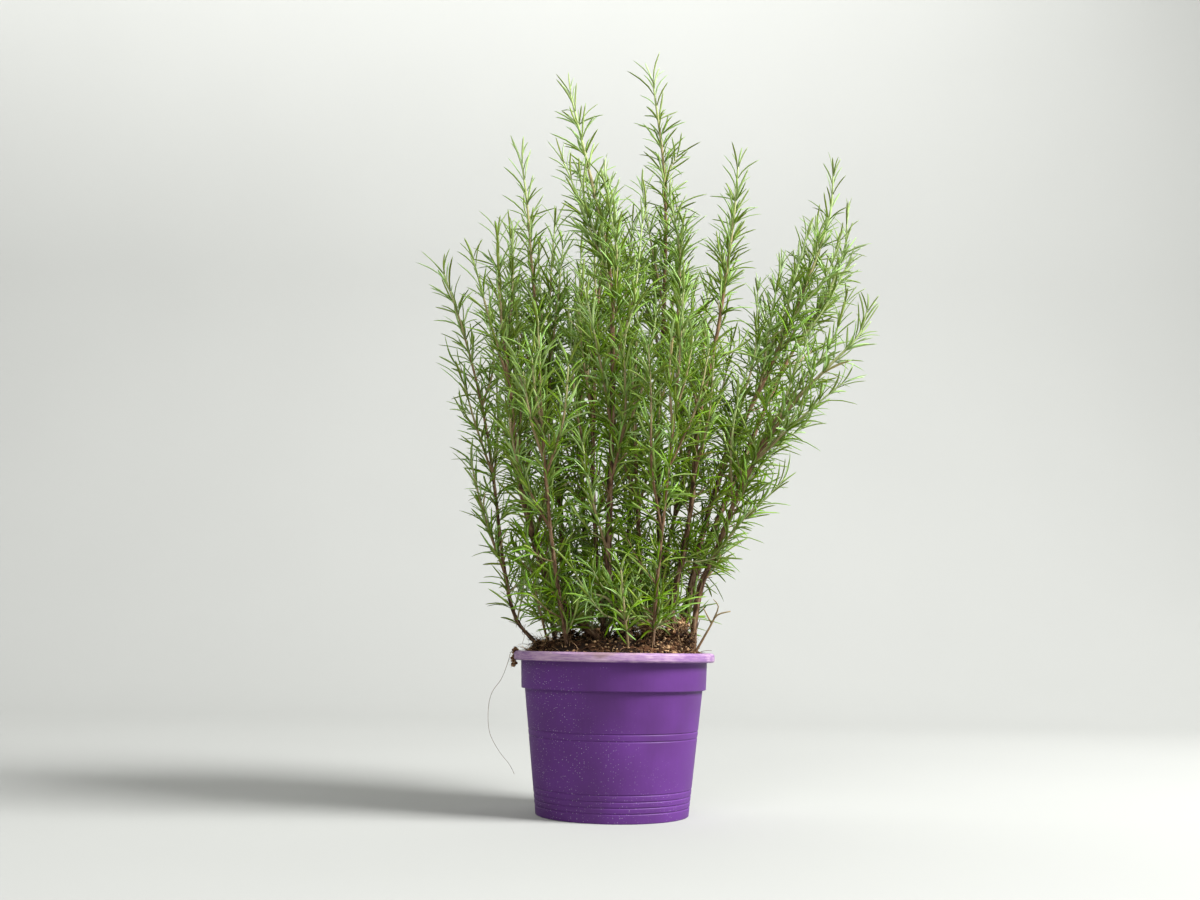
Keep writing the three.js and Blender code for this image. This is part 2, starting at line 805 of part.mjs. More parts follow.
// The hole that a stem stands in
function socketOf([foot, top]) {
  const radius = foot.radius + GAP / Math.cos(SIDE_ANGLE / 2);
  return plainStem([foot.moved(-GAP, radius), top.moved(STEM.depth, radius)]);
}

function buildPlant() {
  const plant = new THREE.Group();
  const twig = makeDryTwig();
  const shoots = makeShoots();
  const mix = [...shoots, twig].reduce((rest, { foot }) => rest.subtract(socketOf(foot)), makeMix());
  plant.add(meshOf('pot', makePot(), COLOURS.pot, 0.45));
  plant.add(meshOf('growing_mix', mix, COLOURS.mix, 0.95));
  shoots.forEach(({ name, solid }) => plant.add(meshOf(name, solid, COLOURS.leaf, 0.6)));
  plant.add(meshOf(twig.name, twig.solid, COLOURS.twig, 0.85));
  return plant;
}

export default buildPlant();
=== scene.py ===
"""A rosemary plant in a moulded plastic pot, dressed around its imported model.

Sizes are millimetres until a mesh is finished, which turns them into metres. The origin is the
centre of the face that the pot stands on, +X is to the right, +Y to the back and +Z up.
"""

import logging
import math
import random
from collections.abc import Callable, Sequence
from dataclasses import dataclass, field
from enum import Enum
from functools import partial

import bpy
import numpy as np
from mathutils import Matrix, Vector, noise

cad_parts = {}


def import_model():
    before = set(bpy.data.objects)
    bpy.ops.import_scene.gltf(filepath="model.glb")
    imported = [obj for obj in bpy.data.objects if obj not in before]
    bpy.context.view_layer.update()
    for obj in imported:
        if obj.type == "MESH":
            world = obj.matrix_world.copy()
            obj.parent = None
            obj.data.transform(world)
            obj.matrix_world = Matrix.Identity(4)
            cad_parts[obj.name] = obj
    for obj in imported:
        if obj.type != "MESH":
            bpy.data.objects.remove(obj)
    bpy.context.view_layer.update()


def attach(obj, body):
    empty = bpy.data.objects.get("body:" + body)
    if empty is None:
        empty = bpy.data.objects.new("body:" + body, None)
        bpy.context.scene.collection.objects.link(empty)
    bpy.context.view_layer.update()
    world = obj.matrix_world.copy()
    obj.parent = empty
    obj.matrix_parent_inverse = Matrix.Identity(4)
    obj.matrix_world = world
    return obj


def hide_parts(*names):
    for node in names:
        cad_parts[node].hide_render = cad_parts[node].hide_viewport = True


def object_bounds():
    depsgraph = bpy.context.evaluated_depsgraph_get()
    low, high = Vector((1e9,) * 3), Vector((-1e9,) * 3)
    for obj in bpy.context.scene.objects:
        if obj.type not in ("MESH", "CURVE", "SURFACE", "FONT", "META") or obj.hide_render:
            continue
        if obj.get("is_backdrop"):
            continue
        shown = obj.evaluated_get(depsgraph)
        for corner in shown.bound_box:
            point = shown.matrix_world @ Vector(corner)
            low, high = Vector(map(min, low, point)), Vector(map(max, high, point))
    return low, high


LOG = logging.getLogger("rosemary")
METRES = 0.001  # one millimetre
BODY = "root"
UP = np.array([0.0, 0.0, 1.0])
OLD_WOOD = 480.0  # how far behind its tip a stem is old wood
OLD_LEAF = 260.0  # how far behind the tip the leaves are old

Colour = tuple[float, float, float, float]
Point = tuple[float, float, float]
Fork = tuple[float, tuple[Point, ...]]  # the height where it leaves its stem, and where it passes
Skin = tuple[np.ndarray, list[np.ndarray]]  # the points, and the faces grouped by their corners
Surface = dict[str, bpy.types.Node]  # for each input of a shader, the node that feeds it
NodeAdder = Callable[..., bpy.types.Node]


class Slot(Enum):
    """The finishes that the record names."""

    POT_PLASTIC = "pot_plastic"
    GROWING_MIX = "growing_mix"
    LEAF = "leaf"
    BARK = "bark"


def to_linear(code: str) -> Colour:
    """Turns an sRGB hex value into a linear colour.

    Args:
        code: Six hex digits after a hash.

    Returns:
        Red, green and blue from 0 to 1, and an alpha of 1.
    """
    shares = [int(code[at:at + 2], 16) / 255 for at in (1, 3, 5)]
    linear = [s / 12.92 if s <= 0.04045 else ((s + 0.055) / 1.055) ** 2.4 for s in shares]
    return (*linear, 1.0)


def smoothstep(value: float, low: float, high: float) -> float:
    """Rises smoothly from 0 at the low value to 1 at the high one."""
    share = min(max((value - low) / (high - low), 0.0), 1.0)
    return share * share * (3 - 2 * share)


def lerp(start: float, end: float, share: float) -> float:
    """Goes a share of the way from one value to another."""
    return start + (end - start) * share


def unit(vector: np.ndarray) -> np.ndarray:
    """Gives one vector, or rows of them, the length 1."""
    return vector / np.linalg.norm(vector, axis=-1, keepdims=True)


def angles_round(sides: int) -> np.ndarray:
    """Spreads angles evenly round a circle, in radians."""
    return np.arange(sides) * math.tau / sides


def across(way: np.ndarray, turn: float) -> np.ndarray:
    """Finds a direction square to another.

    Args:
        way: The direction to stand square to.
        turn: The angle round it, in radians. 0 is to the right, and a quarter turn is to the back.

    Returns:
        A direction with length 1.
    """
    back = np.array([0.0, 1.0, 0.0])
    back = unit(back - way * back.dot(way))
    right = np.cross(back, way)
    return right * math.cos(turn) + back * math.sin(turn)


def feed(tree: bpy.types.NodeTree, node: bpy.types.Node, inputs: dict) -> None:
    """Sets or links the inputs of a shader node.

    Args:
        tree: The node tree that it is in.
        node: The node.
        inputs: For each input, by name or number, its value, its colour as an sRGB hex value, or
            the socket or the node that feeds it.
    """
    for name, value in inputs.items():
        if isinstance(value, str):
            value = to_linear(value)
        if isinstance(value, bpy.types.Node):
            value = next(socket for socket in value.outputs if socket.enabled)
        if isinstance(value, bpy.types.NodeSocket):
            tree.links.new(value, node.inputs[name])
        else:
            node.inputs[name].default_value = value


def add_node(tree: bpy.types.NodeTree, kind: str, inputs: dict | None = None,
             **settings: str) -> bpy.types.Node:
    """Adds a shader node with its settings and links.

    Args:
        tree: The node tree that it joins.
        kind: Blender's name for the kind of node, without its "ShaderNode".
        inputs: What feeds its inputs.
        settings: The node's own properties.

    Returns:
        The new node.
    """
    node = tree.nodes.new(f"ShaderNode{kind}")
    for name, value in settings.items():
        setattr(node, name, value)
    feed(tree, node, inputs or {})
    return node


def lean_out(way: np.ndarray, outward: np.ndarray, lean: float) -> np.ndarray:
    """Turns one direction towards another, square to it, by an angle in radians."""
    return way * math.cos(lean) + outward * math.sin(lean)


@dataclass
class MeshDraft:
    """The points, faces and marks of one mesh while it is made, in millimetres."""

    points: list[np.ndarray] = field(default_factory=list)
    faces: list[np.ndarray] = field(default_factory=list)
    marks: dict[str, list[np.ndarray]] = field(default_factory=dict)
    count: int = 0

    def add(self, skin: Skin, **marks: float | np.ndarray) -> None:
        """Adds one closed skin.

        Args:
            skin: Its points, and its faces in groups with the same number of corners.
            marks: For each mark, one value, or one for each point.
        """
        points, groups = skin
        self.points.append(points)
        self.faces.extend(group + self.count for group in groups)
        for name, value in marks.items():
            self.marks.setdefault(name, []).append(np.resize(value, len(points)))
        self.count += len(points)

    def to_object(self, name: str, material: bpy.types.Material) -> bpy.types.Object:
        """Makes the finished mesh, in metres.

        Args:
            name: The name of the piece.
            material: What it is made of.

        Returns:
            The new object, in the scene.
        """
        mesh = bpy.data.meshes.new(name)
        faces = [face for group in self.faces for face in group.tolist()]
        mesh.from_pydata(np.concatenate(self.points) * METRES, [], faces)
        for mark, values in self.marks.items():
            layer = mesh.attributes.new(mark, "FLOAT", "POINT")
            layer.data.foreach_set("value", np.concatenate(values).astype(np.float32))
        mesh.polygons.foreach_set("use_smooth", [True] * len(mesh.polygons))
        mesh.materials.append(material)
        mesh.update()
        piece = bpy.data.objects.new(name, mesh)
        bpy.context.scene.collection.objects.link(piece)
        return piece


def place(piece: bpy.types.Object, slot: Slot, *replaced: str) -> None:
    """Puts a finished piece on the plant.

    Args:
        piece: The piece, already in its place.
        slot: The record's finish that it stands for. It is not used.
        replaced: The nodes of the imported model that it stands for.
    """
    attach(piece, BODY)
    if replaced:
        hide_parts(*replaced)
    LOG.info("%s: %d faces", piece.name, len(piece.data.polygons))


def join_rings(rings: int, sides: int) -> list[np.ndarray]:
    """Joins rings of points into a closed skin.

    Args:
        rings: How many rings there are, one after the other.
        sides: How many points each has, anticlockwise as seen from the last ring.

    Returns:
        The quads of the wall, and one face for each end.
    """
    side = np.arange(sides)
    after = (side + 1) % sides
    starts = (np.arange(rings - 1) * sides)[:, None]
    corners = [starts + side, starts + after, starts + after + sides, starts + side + sides]
    wall = np.stack(corners, axis=-1).reshape(-1, 4)
    return [wall, side[::-1][None], side[None] + (rings - 1) * sides]


def tube(centres: np.ndarray, radii: np.ndarray, sides: int) -> Skin:
    """Makes a closed round stem.

    Args:
        centres: The points along its middle.
        radii: Its radius at each point, or at each side of each point.
        sides: How many sides it has.

    Returns:
        Its points and faces.
    """
    along = unit(np.gradient(centres, axis=0))
    right = across(along[0], 0.0)
    angles = angles_round(sides)
    rings = []
    for centre, way, radius in zip(centres, along, radii):
        right = unit(right - way * right.dot(way))
        back = np.cross(way, right)
        rings.append(centre + (np.outer(np.cos(angles), right) + np.outer(np.sin(angles), back))
                     * np.reshape(radius, (-1, 1)))
    return np.concatenate(rings), join_rings(len(centres), sides)


class Path:
    """A smooth curve through a row of points, read by the length along it."""

    STEPS = 24  # straight pieces between two points

    def __init__(self, points: Sequence[np.ndarray | Point]) -> None:
        """Runs the curve through the points.

        Args:
            points: Where it passes, from its start to its end.
        """
        points = [np.array(point, float) for point in points]
        stops = [2 * points[0] - points[1], *points, 2 * points[-1] - points[-2]]
        pieces = [self.piece(*stops[at:at + 4]) for at in range(len(points) - 1)]
        self.samples = np.concatenate([*pieces, points[-1][None]])
        steps = np.linalg.norm(np.diff(self.samples, axis=0), axis=1)
        self.travelled = np.concatenate([[0.0], np.cumsum(steps)])
        self.length = float(self.travelled[-1])

    @classmethod
    def piece(cls, before: np.ndarray, start: np.ndarray, end: np.ndarray,
              after: np.ndarray) -> np.ndarray:
        """Follows the centripetal curve between two of its points.

        Args:
            before: The point before the piece.
            start: Where the piece starts.
            end: Where it ends.
            after: The point after it.

        Returns:
            Samples along the piece, without its end.
        """
        first, middle, last = (math.sqrt(np.linalg.norm(b - a))
                               for a, b in ((before, start), (start, end), (end, after)))
        leave = (start - before) / first - (end - before) / (first + middle) + (end - start) / middle
        reach = (end - start) / middle - (after - start) / (middle + last) + (after - end) / last
        leave, reach = leave * middle, reach * middle
        t = (np.arange(cls.STEPS) / cls.STEPS)[:, None]
        square = (-3 * start + 3 * end - 2 * leave - reach) * t ** 2
        return start + leave * t + square + (2 * start - 2 * end + leave + reach) * t ** 3

    def at(self, travelled: float) -> np.ndarray:
        """Finds the point at a length along the curve."""
        return np.array([np.interp(travelled, self.travelled, axis) for axis in self.samples.T])

    def way(self, travelled: float) -> np.ndarray:
        """Finds which way the curve runs at a length along it."""
        return unit(self.at(min(travelled + 1.5, self.length)) - self.at(max(travelled - 1.5, 0)))

    def at_height(self, height: float) -> np.ndarray:
        """Finds where a rising curve reaches a height above the foot of the pot."""
        return self.at(float(np.interp(height, self.samples[:, 2], self.travelled)))


@dataclass(frozen=True)
class Finish:
    """What every finish shares: a shader with its gloss, and a way to colour it."""

    title: str = "finish"
    roughness: float = 0.5
    ior: float = 1.5
    gloss: float = 0.5

    def make(self) -> bpy.types.Material:
        """Makes the material.

        Returns:
            A new material with its nodes.
        """
        material = bpy.data.materials.new(self.title)
        material.use_nodes = True
        tree = material.node_tree
        shader = tree.nodes["Principled BSDF"]
        feed(tree, shader, {
            "Roughness": self.roughness, "IOR": self.ior, "Specular IOR Level": self.gloss})
        feed(tree, shader, self.dress(partial(add_node, tree)))
        return material

    def dress(self, add: NodeAdder) -> Surface:
        """Makes the nodes for the colours and the fine surface.

        Args:
            add: Adds a node to the material.

        Returns:
            What feeds the shader.
        """
        raise NotImplementedError


@dataclass(frozen=True)
class FadedPolypropylene(Finish):
    """Injection-moulded polypropylene. Pigment all through gives it an even, slightly cloudy
    purple with a satin skin, and the sun and many hands have bleached and scuffed its rim."""

    title: str = "polypropylene_moulded"
    roughness: float = 0.55
    ior: float = 1.49
    gloss: float = 0.3
    pigment: str = "#582975"
    deep: str = "#4d2364"
    bleached: str = "#7e5b8c"
    scuffed: str = "#b396ae"
    dust: str = "#cdc5ce"
    soiled: str = "#674c42"
    rim_low: float = 148.0
    rim_radius: float = 100.0
    wall_radius: float = 84.0
    flow_width: float = 2.2  # the faint upright flow lines from moulding
    speck_spacing: float = 2.4  # dried splashes of hard water, on one side
    scratch_length: float = 14.0
    scratch_width: float = 0.9

    def dress(self, add: NodeAdder) -> Surface:
        """Makes the nodes for the colours and the fine surface.

        Args:
            add: Adds a node to the material.

        Returns:
            What feeds the shader.
        """
        # the body: a cloudy pigment with faint upright flow lines
        place_of = add("TexCoord").outputs["Object"]
        sides = add("SeparateXYZ", {0: place_of}).outputs
        height = sides["Z"]
        flow_scale = 1 / (self.flow_width * METRES)
        upright = add("Mapping", {"Vector": place_of, "Scale": (flow_scale, flow_scale, flow_scale / 30)})
        flow = add("TexNoise", {"Vector": upright, "Scale": 1.0, "Detail": 3.0})
        cloud = add("TexNoise", {"Vector": place_of, "Scale": 22.0, "Detail": 4.0})
        mottle = add("Math", {0: flow, 1: 0.2, 2: cloud}, operation="MULTIPLY_ADD")
        depth = add("MapRange", {"Value": mottle, "From Min": 0.4, "From Max": 0.8})
        body = add("Mix", {0: depth, 6: self.deep, 7: self.pigment}, data_type="RGBA")

        # the rim: bleached and scuffed, most on the side that was splashed, and soiled along its top
        splash = add("Math", {0: sides["X"], 1: -4.0, 2: cloud}, operation="MULTIPLY_ADD")
        settled = add("Math", {0: height, 1: -2.0, 2: splash}, operation="MULTIPLY_ADD")
        splashed = add("MapRange", {"Value": settled, "From Min": 0.22, "From Max": 0.62, "To Max": 0.72})
        front = add("Math", {0: sides["Y"], 1: -1.0}, operation="MULTIPLY")
        turn = add("Math", {0: sides["X"], 1: front}, operation="ARCTAN2")
        around = add("CombineXYZ", {"X": turn, "Y": height})
        wide = 1 / (self.scratch_width * METRES)
        level = add("Mapping", {
            "Vector": around, "Scale": (self.rim_radius / self.scratch_length, wide, wide)})
        scratches = add("TexNoise", {"Vector": level, "Scale": 1.0, "Detail": 6.0, "Roughness": 0.7})
        patches = add("TexNoise", {"Vector": place_of, "Scale": 26.0, "Detail": 4.0})
        wear = add("Math", {0: patches, 1: 0.8, 2: scratches}, operation="MULTIPLY_ADD")
        weathered = add("Math", {0: splashed, 1: 0.14, 2: wear}, operation="MULTIPLY_ADD")
        worn = add("MapRange", {"Value": weathered, "From Min": 0.84, "From Max": 1.12})
        faded = add("Mix", {0: worn, 6: self.bleached, 7: self.scuffed}, data_type="RGBA")
        grime = add("Math", {0: height, 1: 30.0, 2: patches}, operation="MULTIPLY_ADD")
        grimy = add("MapRange", {"Value": grime, "From Min": 5.24, "From Max": 5.36, "To Max": 0.6})
        rim = add("Mix", {0: grimy, 6: faded, 7: self.soiled}, data_type="RGBA")
        ragged = add("Math", {0: scratches, 1: 0.0016, 2: height}, operation="MULTIPLY_ADD")
        on_rim = add("MapRange", {
            "Value": ragged, "From Min": (self.rim_low + 0.4) * METRES,
            "From Max": (self.rim_low + 1.6) * METRES})
        plastic = add("Mix", {0: on_rim, 6: body, 7: rim}, data_type="RGBA")

        # the dried drops on that side
        apart = 1 / (self.speck_spacing * METRES)
        wall = add("Mapping", {
            "Vector": around, "Scale": (self.wall_radius * METRES * apart, apart, apart)})
        cells = add("TexVoronoi", {
            "Vector": wall, "Scale": 1.0, "Randomness": 1.0}, voronoi_dimensions="2D")
        size = add("SeparateColor", {0: cells.outputs["Color"]})
        reach = add("MapRange", {"Value": size, "From Min": 0.56, "From Max": 1.0, "To Max": 0.15})
        near = add("Math", {0: cells.outputs["Distance"], 1: reach}, operation="LESS_THAN")
        specks = add("Math", {0: near, 1: splashed}, operation="MULTIPLY")
        dusty = add("Mix", {0: specks, 6: plastic, 7: self.dust}, data_type="RGBA")

        rough = add("MapRange", {
            "Value": mottle, "From Min": 0.3, "From Max": 0.9, "To Min": self.roughness - 0.06,
            "To Max": self.roughness + 0.1})
        bump = add("Bump", {"Strength": 0.25, "Distance": 0.12 * METRES, "Height": mottle})
        return {"Base Color": dusty, "Roughness": rough, "Normal": bump}


@dataclass(frozen=True)
class CoirMix(Finish):
    """Milled coir and bark fines, damp inside and dried on top. It has no gloss, and its fibres
    run from straw to dark brown."""

    title: str = "coir_milled"
    roughness: float = 0.95
    gloss: float = 0.15
    dark: str = "#1e130c"
    brown: str = "#62422c"
    straw: str = "#ba9972"
    grain: float = 1.6  # the width of a crumb

    def dress(self, add: NodeAdder) -> Surface:
        """Makes the nodes for the colours and the fine surface.

        Args:
            add: Adds a node to the material.

        Returns:
            What feeds the shader.
        """
        place_of = add("TexCoord").outputs["Object"]
        tone = add("Attribute", attribute_name="tone").outputs["Fac"]
        crumbs = add("TexNoise", {
            "Vector": place_of, "Scale": 1 / (self.grain * 2 * METRES), "Detail": 5.0, "Roughness": 0.65})
        mixed = add("Math", {0: tone, 1: crumbs}, operation="ADD")
        low = add("MapRange", {"Value": mixed, "From Min": 0.35, "From Max": 0.95})
        high = add("MapRange", {"Value": mixed, "From Min": 0.95, "From Max": 1.5})
        damp = add("Mix", {0: low, 6: self.dark, 7: self.brown}, data_type="RGBA")
        colour = add("Mix", {0: high, 6: damp, 7: self.straw}, data_type="RGBA")
        bump = add("Bump", {"Strength": 0.8, "Distance": 0.8 * METRES, "Height": crumbs})
        return {"Base Color": colour, "Normal": bump}


@dataclass(frozen=True)
class WaxedLeaf(Finish):
    """A rosemary leaf. Its upper face is waxed and leathery, so it shines a little, and its
    underside is felted with white hairs. A whitish waxy coat makes young leaves paler and greyer,
    and old ones are a deeper, yellower green. The paler young leaves also carry a painted sheen,
    the deeper old ones a painted shade, and each leaf's brightness is partly painted light and
    shade."""

    title: str = "leaf_waxed"
    roughness: float = 0.35
    ior: float = 1.45
    gloss: float = 0.17
    # the greyer young green is partly a painted sheen, and the dark old green partly painted shade
    young: str = "#90a86c"
    grown: str = "#739535"
    old: str = "#526f00"
    felt: str = "#98a85e"
    dry: str = "#937e4e"
    pore: float = 0.35  # the dimples of the upper face

    def dress(self, add: NodeAdder) -> Surface:
        """Makes the nodes for the colours and the fine surface.

        Args:
            add: Adds a node to the material.

        Returns:
            What feeds the shader.
        """
        marks = {name: add("Attribute", attribute_name=name).outputs["Fac"]
                 for name in ("age", "tone", "under", "along")}
        place_of = add("TexCoord").outputs["Object"]
        # old leaves turn a deeper, darker green, partly with age and partly as painted shade inside the
        # crown
        early = add("MapRange", {"Value": marks["age"], "From Min": 0.0, "From Max": 0.2})
        aged_and_shaded = add("MapRange", {"Value": marks["age"], "From Min": 0.22, "From Max": 0.75})
        fresh = add("Mix", {0: early, 6: self.young, 7: self.grown}, data_type="RGBA")
        green = add("Mix", {0: aged_and_shaded, 6: fresh, 7: self.old}, data_type="RGBA")
        root_end = add("MapRange", {
            "Value": marks["along"], "From Min": 0.0, "From Max": 0.22, "To Min": 0.45, "To Max": 0.0})
        pale = add("Mix", {0: root_end, 6: green, 7: self.young}, data_type="RGBA")
        felted = add("MapRange", {
            "Value": marks["under"], "From Min": 0.35, "From Max": 0.75, "To Max": 0.85})
        two_sided = add("Mix", {0: felted, 6: pale, 7: self.felt}, data_type="RGBA")
        withered = add("Math", {0: marks["tone"], 1: 0.996}, operation="GREATER_THAN")
        leaf = add("Mix", {0: withered, 6: two_sided, 7: self.dry}, data_type="RGBA")
        # no two leaves have the same green, and the wide spread of brightness between them is painted
        # light and shade; the brighter ones are also greyer, partly from wax and partly as a painted
        # sheen, which dulls the colour of young leaves most
        hue = add("MapRange", {"Value": marks["tone"], "To Min": 0.488, "To Max": 0.512})
        value = add("MapRange", {"Value": marks["tone"], "To Min": 0.5, "To Max": 1.42})
        # painted sheen: the brighter leaves lose colour, young ones most
        waxed = add("MapRange", {
            "Value": marks["age"], "From Min": 0.2, "From Max": 0.6, "To Min": 0.76, "To Max": 1.05})
        bloom_and_sheen = add("MapRange", {"Value": marks["tone"], "To Min": 1.18, "To Max": waxed})
        varied = add("HueSaturation", {"Hue": hue, "Saturation": bloom_and_sheen, "Value": value, "Color": leaf})

        rough = add("MapRange", {
            "Value": marks["under"], "From Min": 0.3, "From Max": 0.7, "To Min": self.roughness,
            "To Max": 0.85})
        pores = add("TexNoise", {"Vector": place_of, "Scale": 1 / (self.pore * 2 * METRES), "Detail": 2.0})
        bump = add("Bump", {"Strength": 0.4, "Distance": 0.08 * METRES, "Height": pores})
        return {"Base Color": varied, "Roughness": rough, "Normal": bump}


@dataclass(frozen=True)
class RidgedBark(Finish):
    """Rosemary bark. The young stem is green and downy, then it turns straw and red-brown, and old
    wood is grey-brown and splits into long ridges that peel in shreds."""

    title: str = "bark_ridged"
    roughness: float = 0.85
    gloss: float = 0.25
    green: str = "#9eaf73"
    straw: str = "#938962"
    tan: str = "#7c6045"
    wood: str = "#694e37"
    old_wood: str = "#563d2b"
    crevice: str = "#261912"
    ridge: str = "#937b64"
    ridge_width: float = 2.2

    def dress(self, add: NodeAdder) -> Surface:
        """Makes the nodes for the colours and the fine surface.

        Args:
            add: Adds a node to the material.

        Returns:
            What feeds the shader.
        """
        age = add("Attribute", attribute_name="age").outputs["Fac"]
        ring = [add("Attribute", attribute_name=name).outputs["Fac"]
                for name in ("ring_x", "ring_y", "ring_z")]
        place_of = add("CombineXYZ", dict(enumerate(ring)))
        fine = 1 / self.ridge_width
        stretched = add("Mapping", {"Vector": place_of, "Scale": (fine, fine, fine / 6)})
        ridges = add("TexNoise", {"Vector": stretched, "Scale": 1.0, "Detail": 5.0, "Roughness": 0.6})
        colour = self.green
        stages = ((self.straw, 0.08, 0.2), (self.tan, 0.2, 0.36), (self.wood, 0.4, 0.65),
                  (self.old_wood, 0.75, 1.0))
        for code, low, high in stages:
            share = add("MapRange", {"Value": age, "From Min": low, "From Max": high})
            colour = add("Mix", {0: share, 6: colour, 7: code}, data_type="RGBA")
        woody = add("MapRange", {"Value": age, "From Min": 0.15, "From Max": 0.6, "To Max": 0.8})
        for code, low, high in ((self.ridge, 0.52, 0.62), (self.crevice, 0.51, 0.42)):
            reach = add("MapRange", {"Value": ridges, "From Min": low, "From Max": high})
            share = add("Math", {0: reach, 1: woody}, operation="MULTIPLY")
            colour = add("Mix", {0: share, 6: colour, 7: code}, data_type="RGBA")
        bump = add("Bump", {"Strength": 0.9, "Distance": 0.5 * METRES, "Height": ridges})
        return {"Base Color": colour, "Normal": bump}


@dataclass(frozen=True)
class MattPaint(Finish):
    """Plain matt paint on the floor and the backdrop, with the slight unevenness of a roller."""

    title: str = "paint_matt"
    roughness: float = 0.9
    gloss: float = 0.2
    light: str = "#a0a19e"
    shade: str = "#9c9d9a"

    def dress(self, add: NodeAdder) -> Surface:
        """Makes the nodes for the colours and the fine surface.

        Args:
            add: Adds a node to the material.

        Returns:
            What feeds the shader.
        """
        place_of = add("TexCoord").outputs["Object"]
        cloud = add("TexNoise", {"Vector": place_of, "Scale": 1.5})
        colour = add("Mix", {0: cloud, 6: self.light, 7: self.shade}, data_type="RGBA")
        return {"Base Color": colour}


@dataclass
class Pot:
    """The moulded pot, with its rolled rim, its collar and the lines pressed round its wall."""

    height: float = 157.0
    base_radius: float = 75.0
    shoulder_height: float = 121.0
    shoulder_radius: float = 88.2
    collar_low_radius: float = 91.5
    collar_top_radius: float = 92.5
    rim_radius: float = 100.0
    lip_height: float = 9.0
    wall: float = 1.8
    floor: float = 2.4
    grooves: tuple[float, ...] = (9, 14.5, 20, 26, 75, 81.5)
    groove_depth: float = 0.75
    groove_half_width: float = 0.75
    segments: int = 144
    drain_holes: int = 8
    drain_radius: float = 5.0
    drain_circle: float = 56.0
    softness: float = 0.8  # how round the moulded edges are

    def body_radius(self, height: float) -> float:
        """Finds the outer radius of the wall at a height below the shoulder."""
        return lerp(self.base_radius, self.shoulder_radius, height / self.shoulder_height)

    def rounded(self, corners: list[tuple[float, float]]) -> list[tuple[float, float]]:
        """Rounds the corners of an outline.

        Args:
            corners: Radius and height of each corner, in order. The first and last stay.

        Returns:
            The outline with an arc of points in the place of each corner.
        """
        outline = [corners[0]]
        for before, corner, after in zip(corners, corners[1:], corners[2:]):
            here = np.array(corner)
            legs = [np.array(before) - here, np.array(after) - here]
            reach = min(self.softness, *(np.linalg.norm(leg) * 0.45 for leg in legs))
            start, end = (here + unit(leg) * reach for leg in legs)
            for share in (0.0, 0.25, 0.5, 0.75, 1.0):
                bend = (1 - share) ** 2 * start + 2 * share * (1 - share) * here + share ** 2 * end
                outline.append((float(bend[0]), float(bend[1])))
        return [*outline, corners[-1]]

    def outline(self) -> list[tuple[float, float]]:
        """Draws half a section of the pot.

        Returns:
            Radius and height of each point, from the middle of the foot, up the outside and down
            the inside to the middle of the floor.
        """
        lip = self.height - self.lip_height
        outside = [(0.0, 0.0), (self.base_radius, 0.0), (self.body_radius(2.0), 2.0)]
        for height in self.grooves:
            half = self.groove_half_width
            outside += [(self.body_radius(height - half), height - half),
                        (self.body_radius(height) - self.groove_depth, height),
                        (self.body_radius(height + half), height + half)]
        outside += [
            (self.shoulder_radius, self.shoulder_height), (self.collar_low_radius, self.shoulder_height),
            (self.collar_top_radius, lip), (self.rim_radius - 1.2, lip),
            (self.rim_radius, lip + 1.6), (self.rim_radius, self.height - 2.0),
            (self.rim_radius - 2.2, self.height), (self.collar_top_radius + 0.4, self.height),
        ]
        inside = [
            (self.collar_top_radius - self.wall, self.height - 1.4),
            (self.collar_low_radius - self.wall, self.shoulder_height + self.wall),
            (self.shoulder_radius - self.wall, self.shoulder_height - self.wall),
            (self.body_radius(self.floor) - self.wall, self.floor), (0.0, self.floor),
        ]
        return self.rounded(outside + inside)

    def build(self, plastic: bpy.types.Material) -> None:
        """Makes the pot.

        Args:
            plastic: What it is moulded from.
        """
        outline = self.outline()[1:-1]
        angles = angles_round(self.segments)
        rings = [np.stack([radius * np.cos(angles), radius * np.sin(angles),
                           np.full(self.segments, height)], axis=1) for radius, height in outline]
        draft = MeshDraft()
        draft.add((np.concatenate(rings), join_rings(len(rings), self.segments)))
        pot = draft.to_object("flower_pot", plastic)
        drill = self.drill()
        cut = pot.modifiers.new("drain_holes", "BOOLEAN")
        cut.operation = "DIFFERENCE"
        cut.object = drill
        holed = bpy.data.meshes.new_from_object(
            pot.evaluated_get(bpy.context.evaluated_depsgraph_get()))
        pot.modifiers.clear()
        pot.data = holed
        bpy.data.objects.remove(drill)
        place(pot, Slot.POT_PLASTIC, "pot")

    def drill(self) -> bpy.types.Object:
        """Makes the pins that leave the drain holes in the floor.

        Returns:
            One object with all the pins, to cut the pot with.
        """
        draft = MeshDraft()
        for hole in range(self.drain_holes):
            angle = hole / self.drain_holes * math.tau
            x, y = self.drain_circle * math.cos(angle), self.drain_circle * math.sin(angle)
            centres = np.array([[x, y, -self.floor], [x, y, self.floor * 2]])
            draft.add(tube(centres, np.full(2, self.drain_radius), 32))
        return draft.to_object("drain_pins", bpy.data.materials.new("pin"))


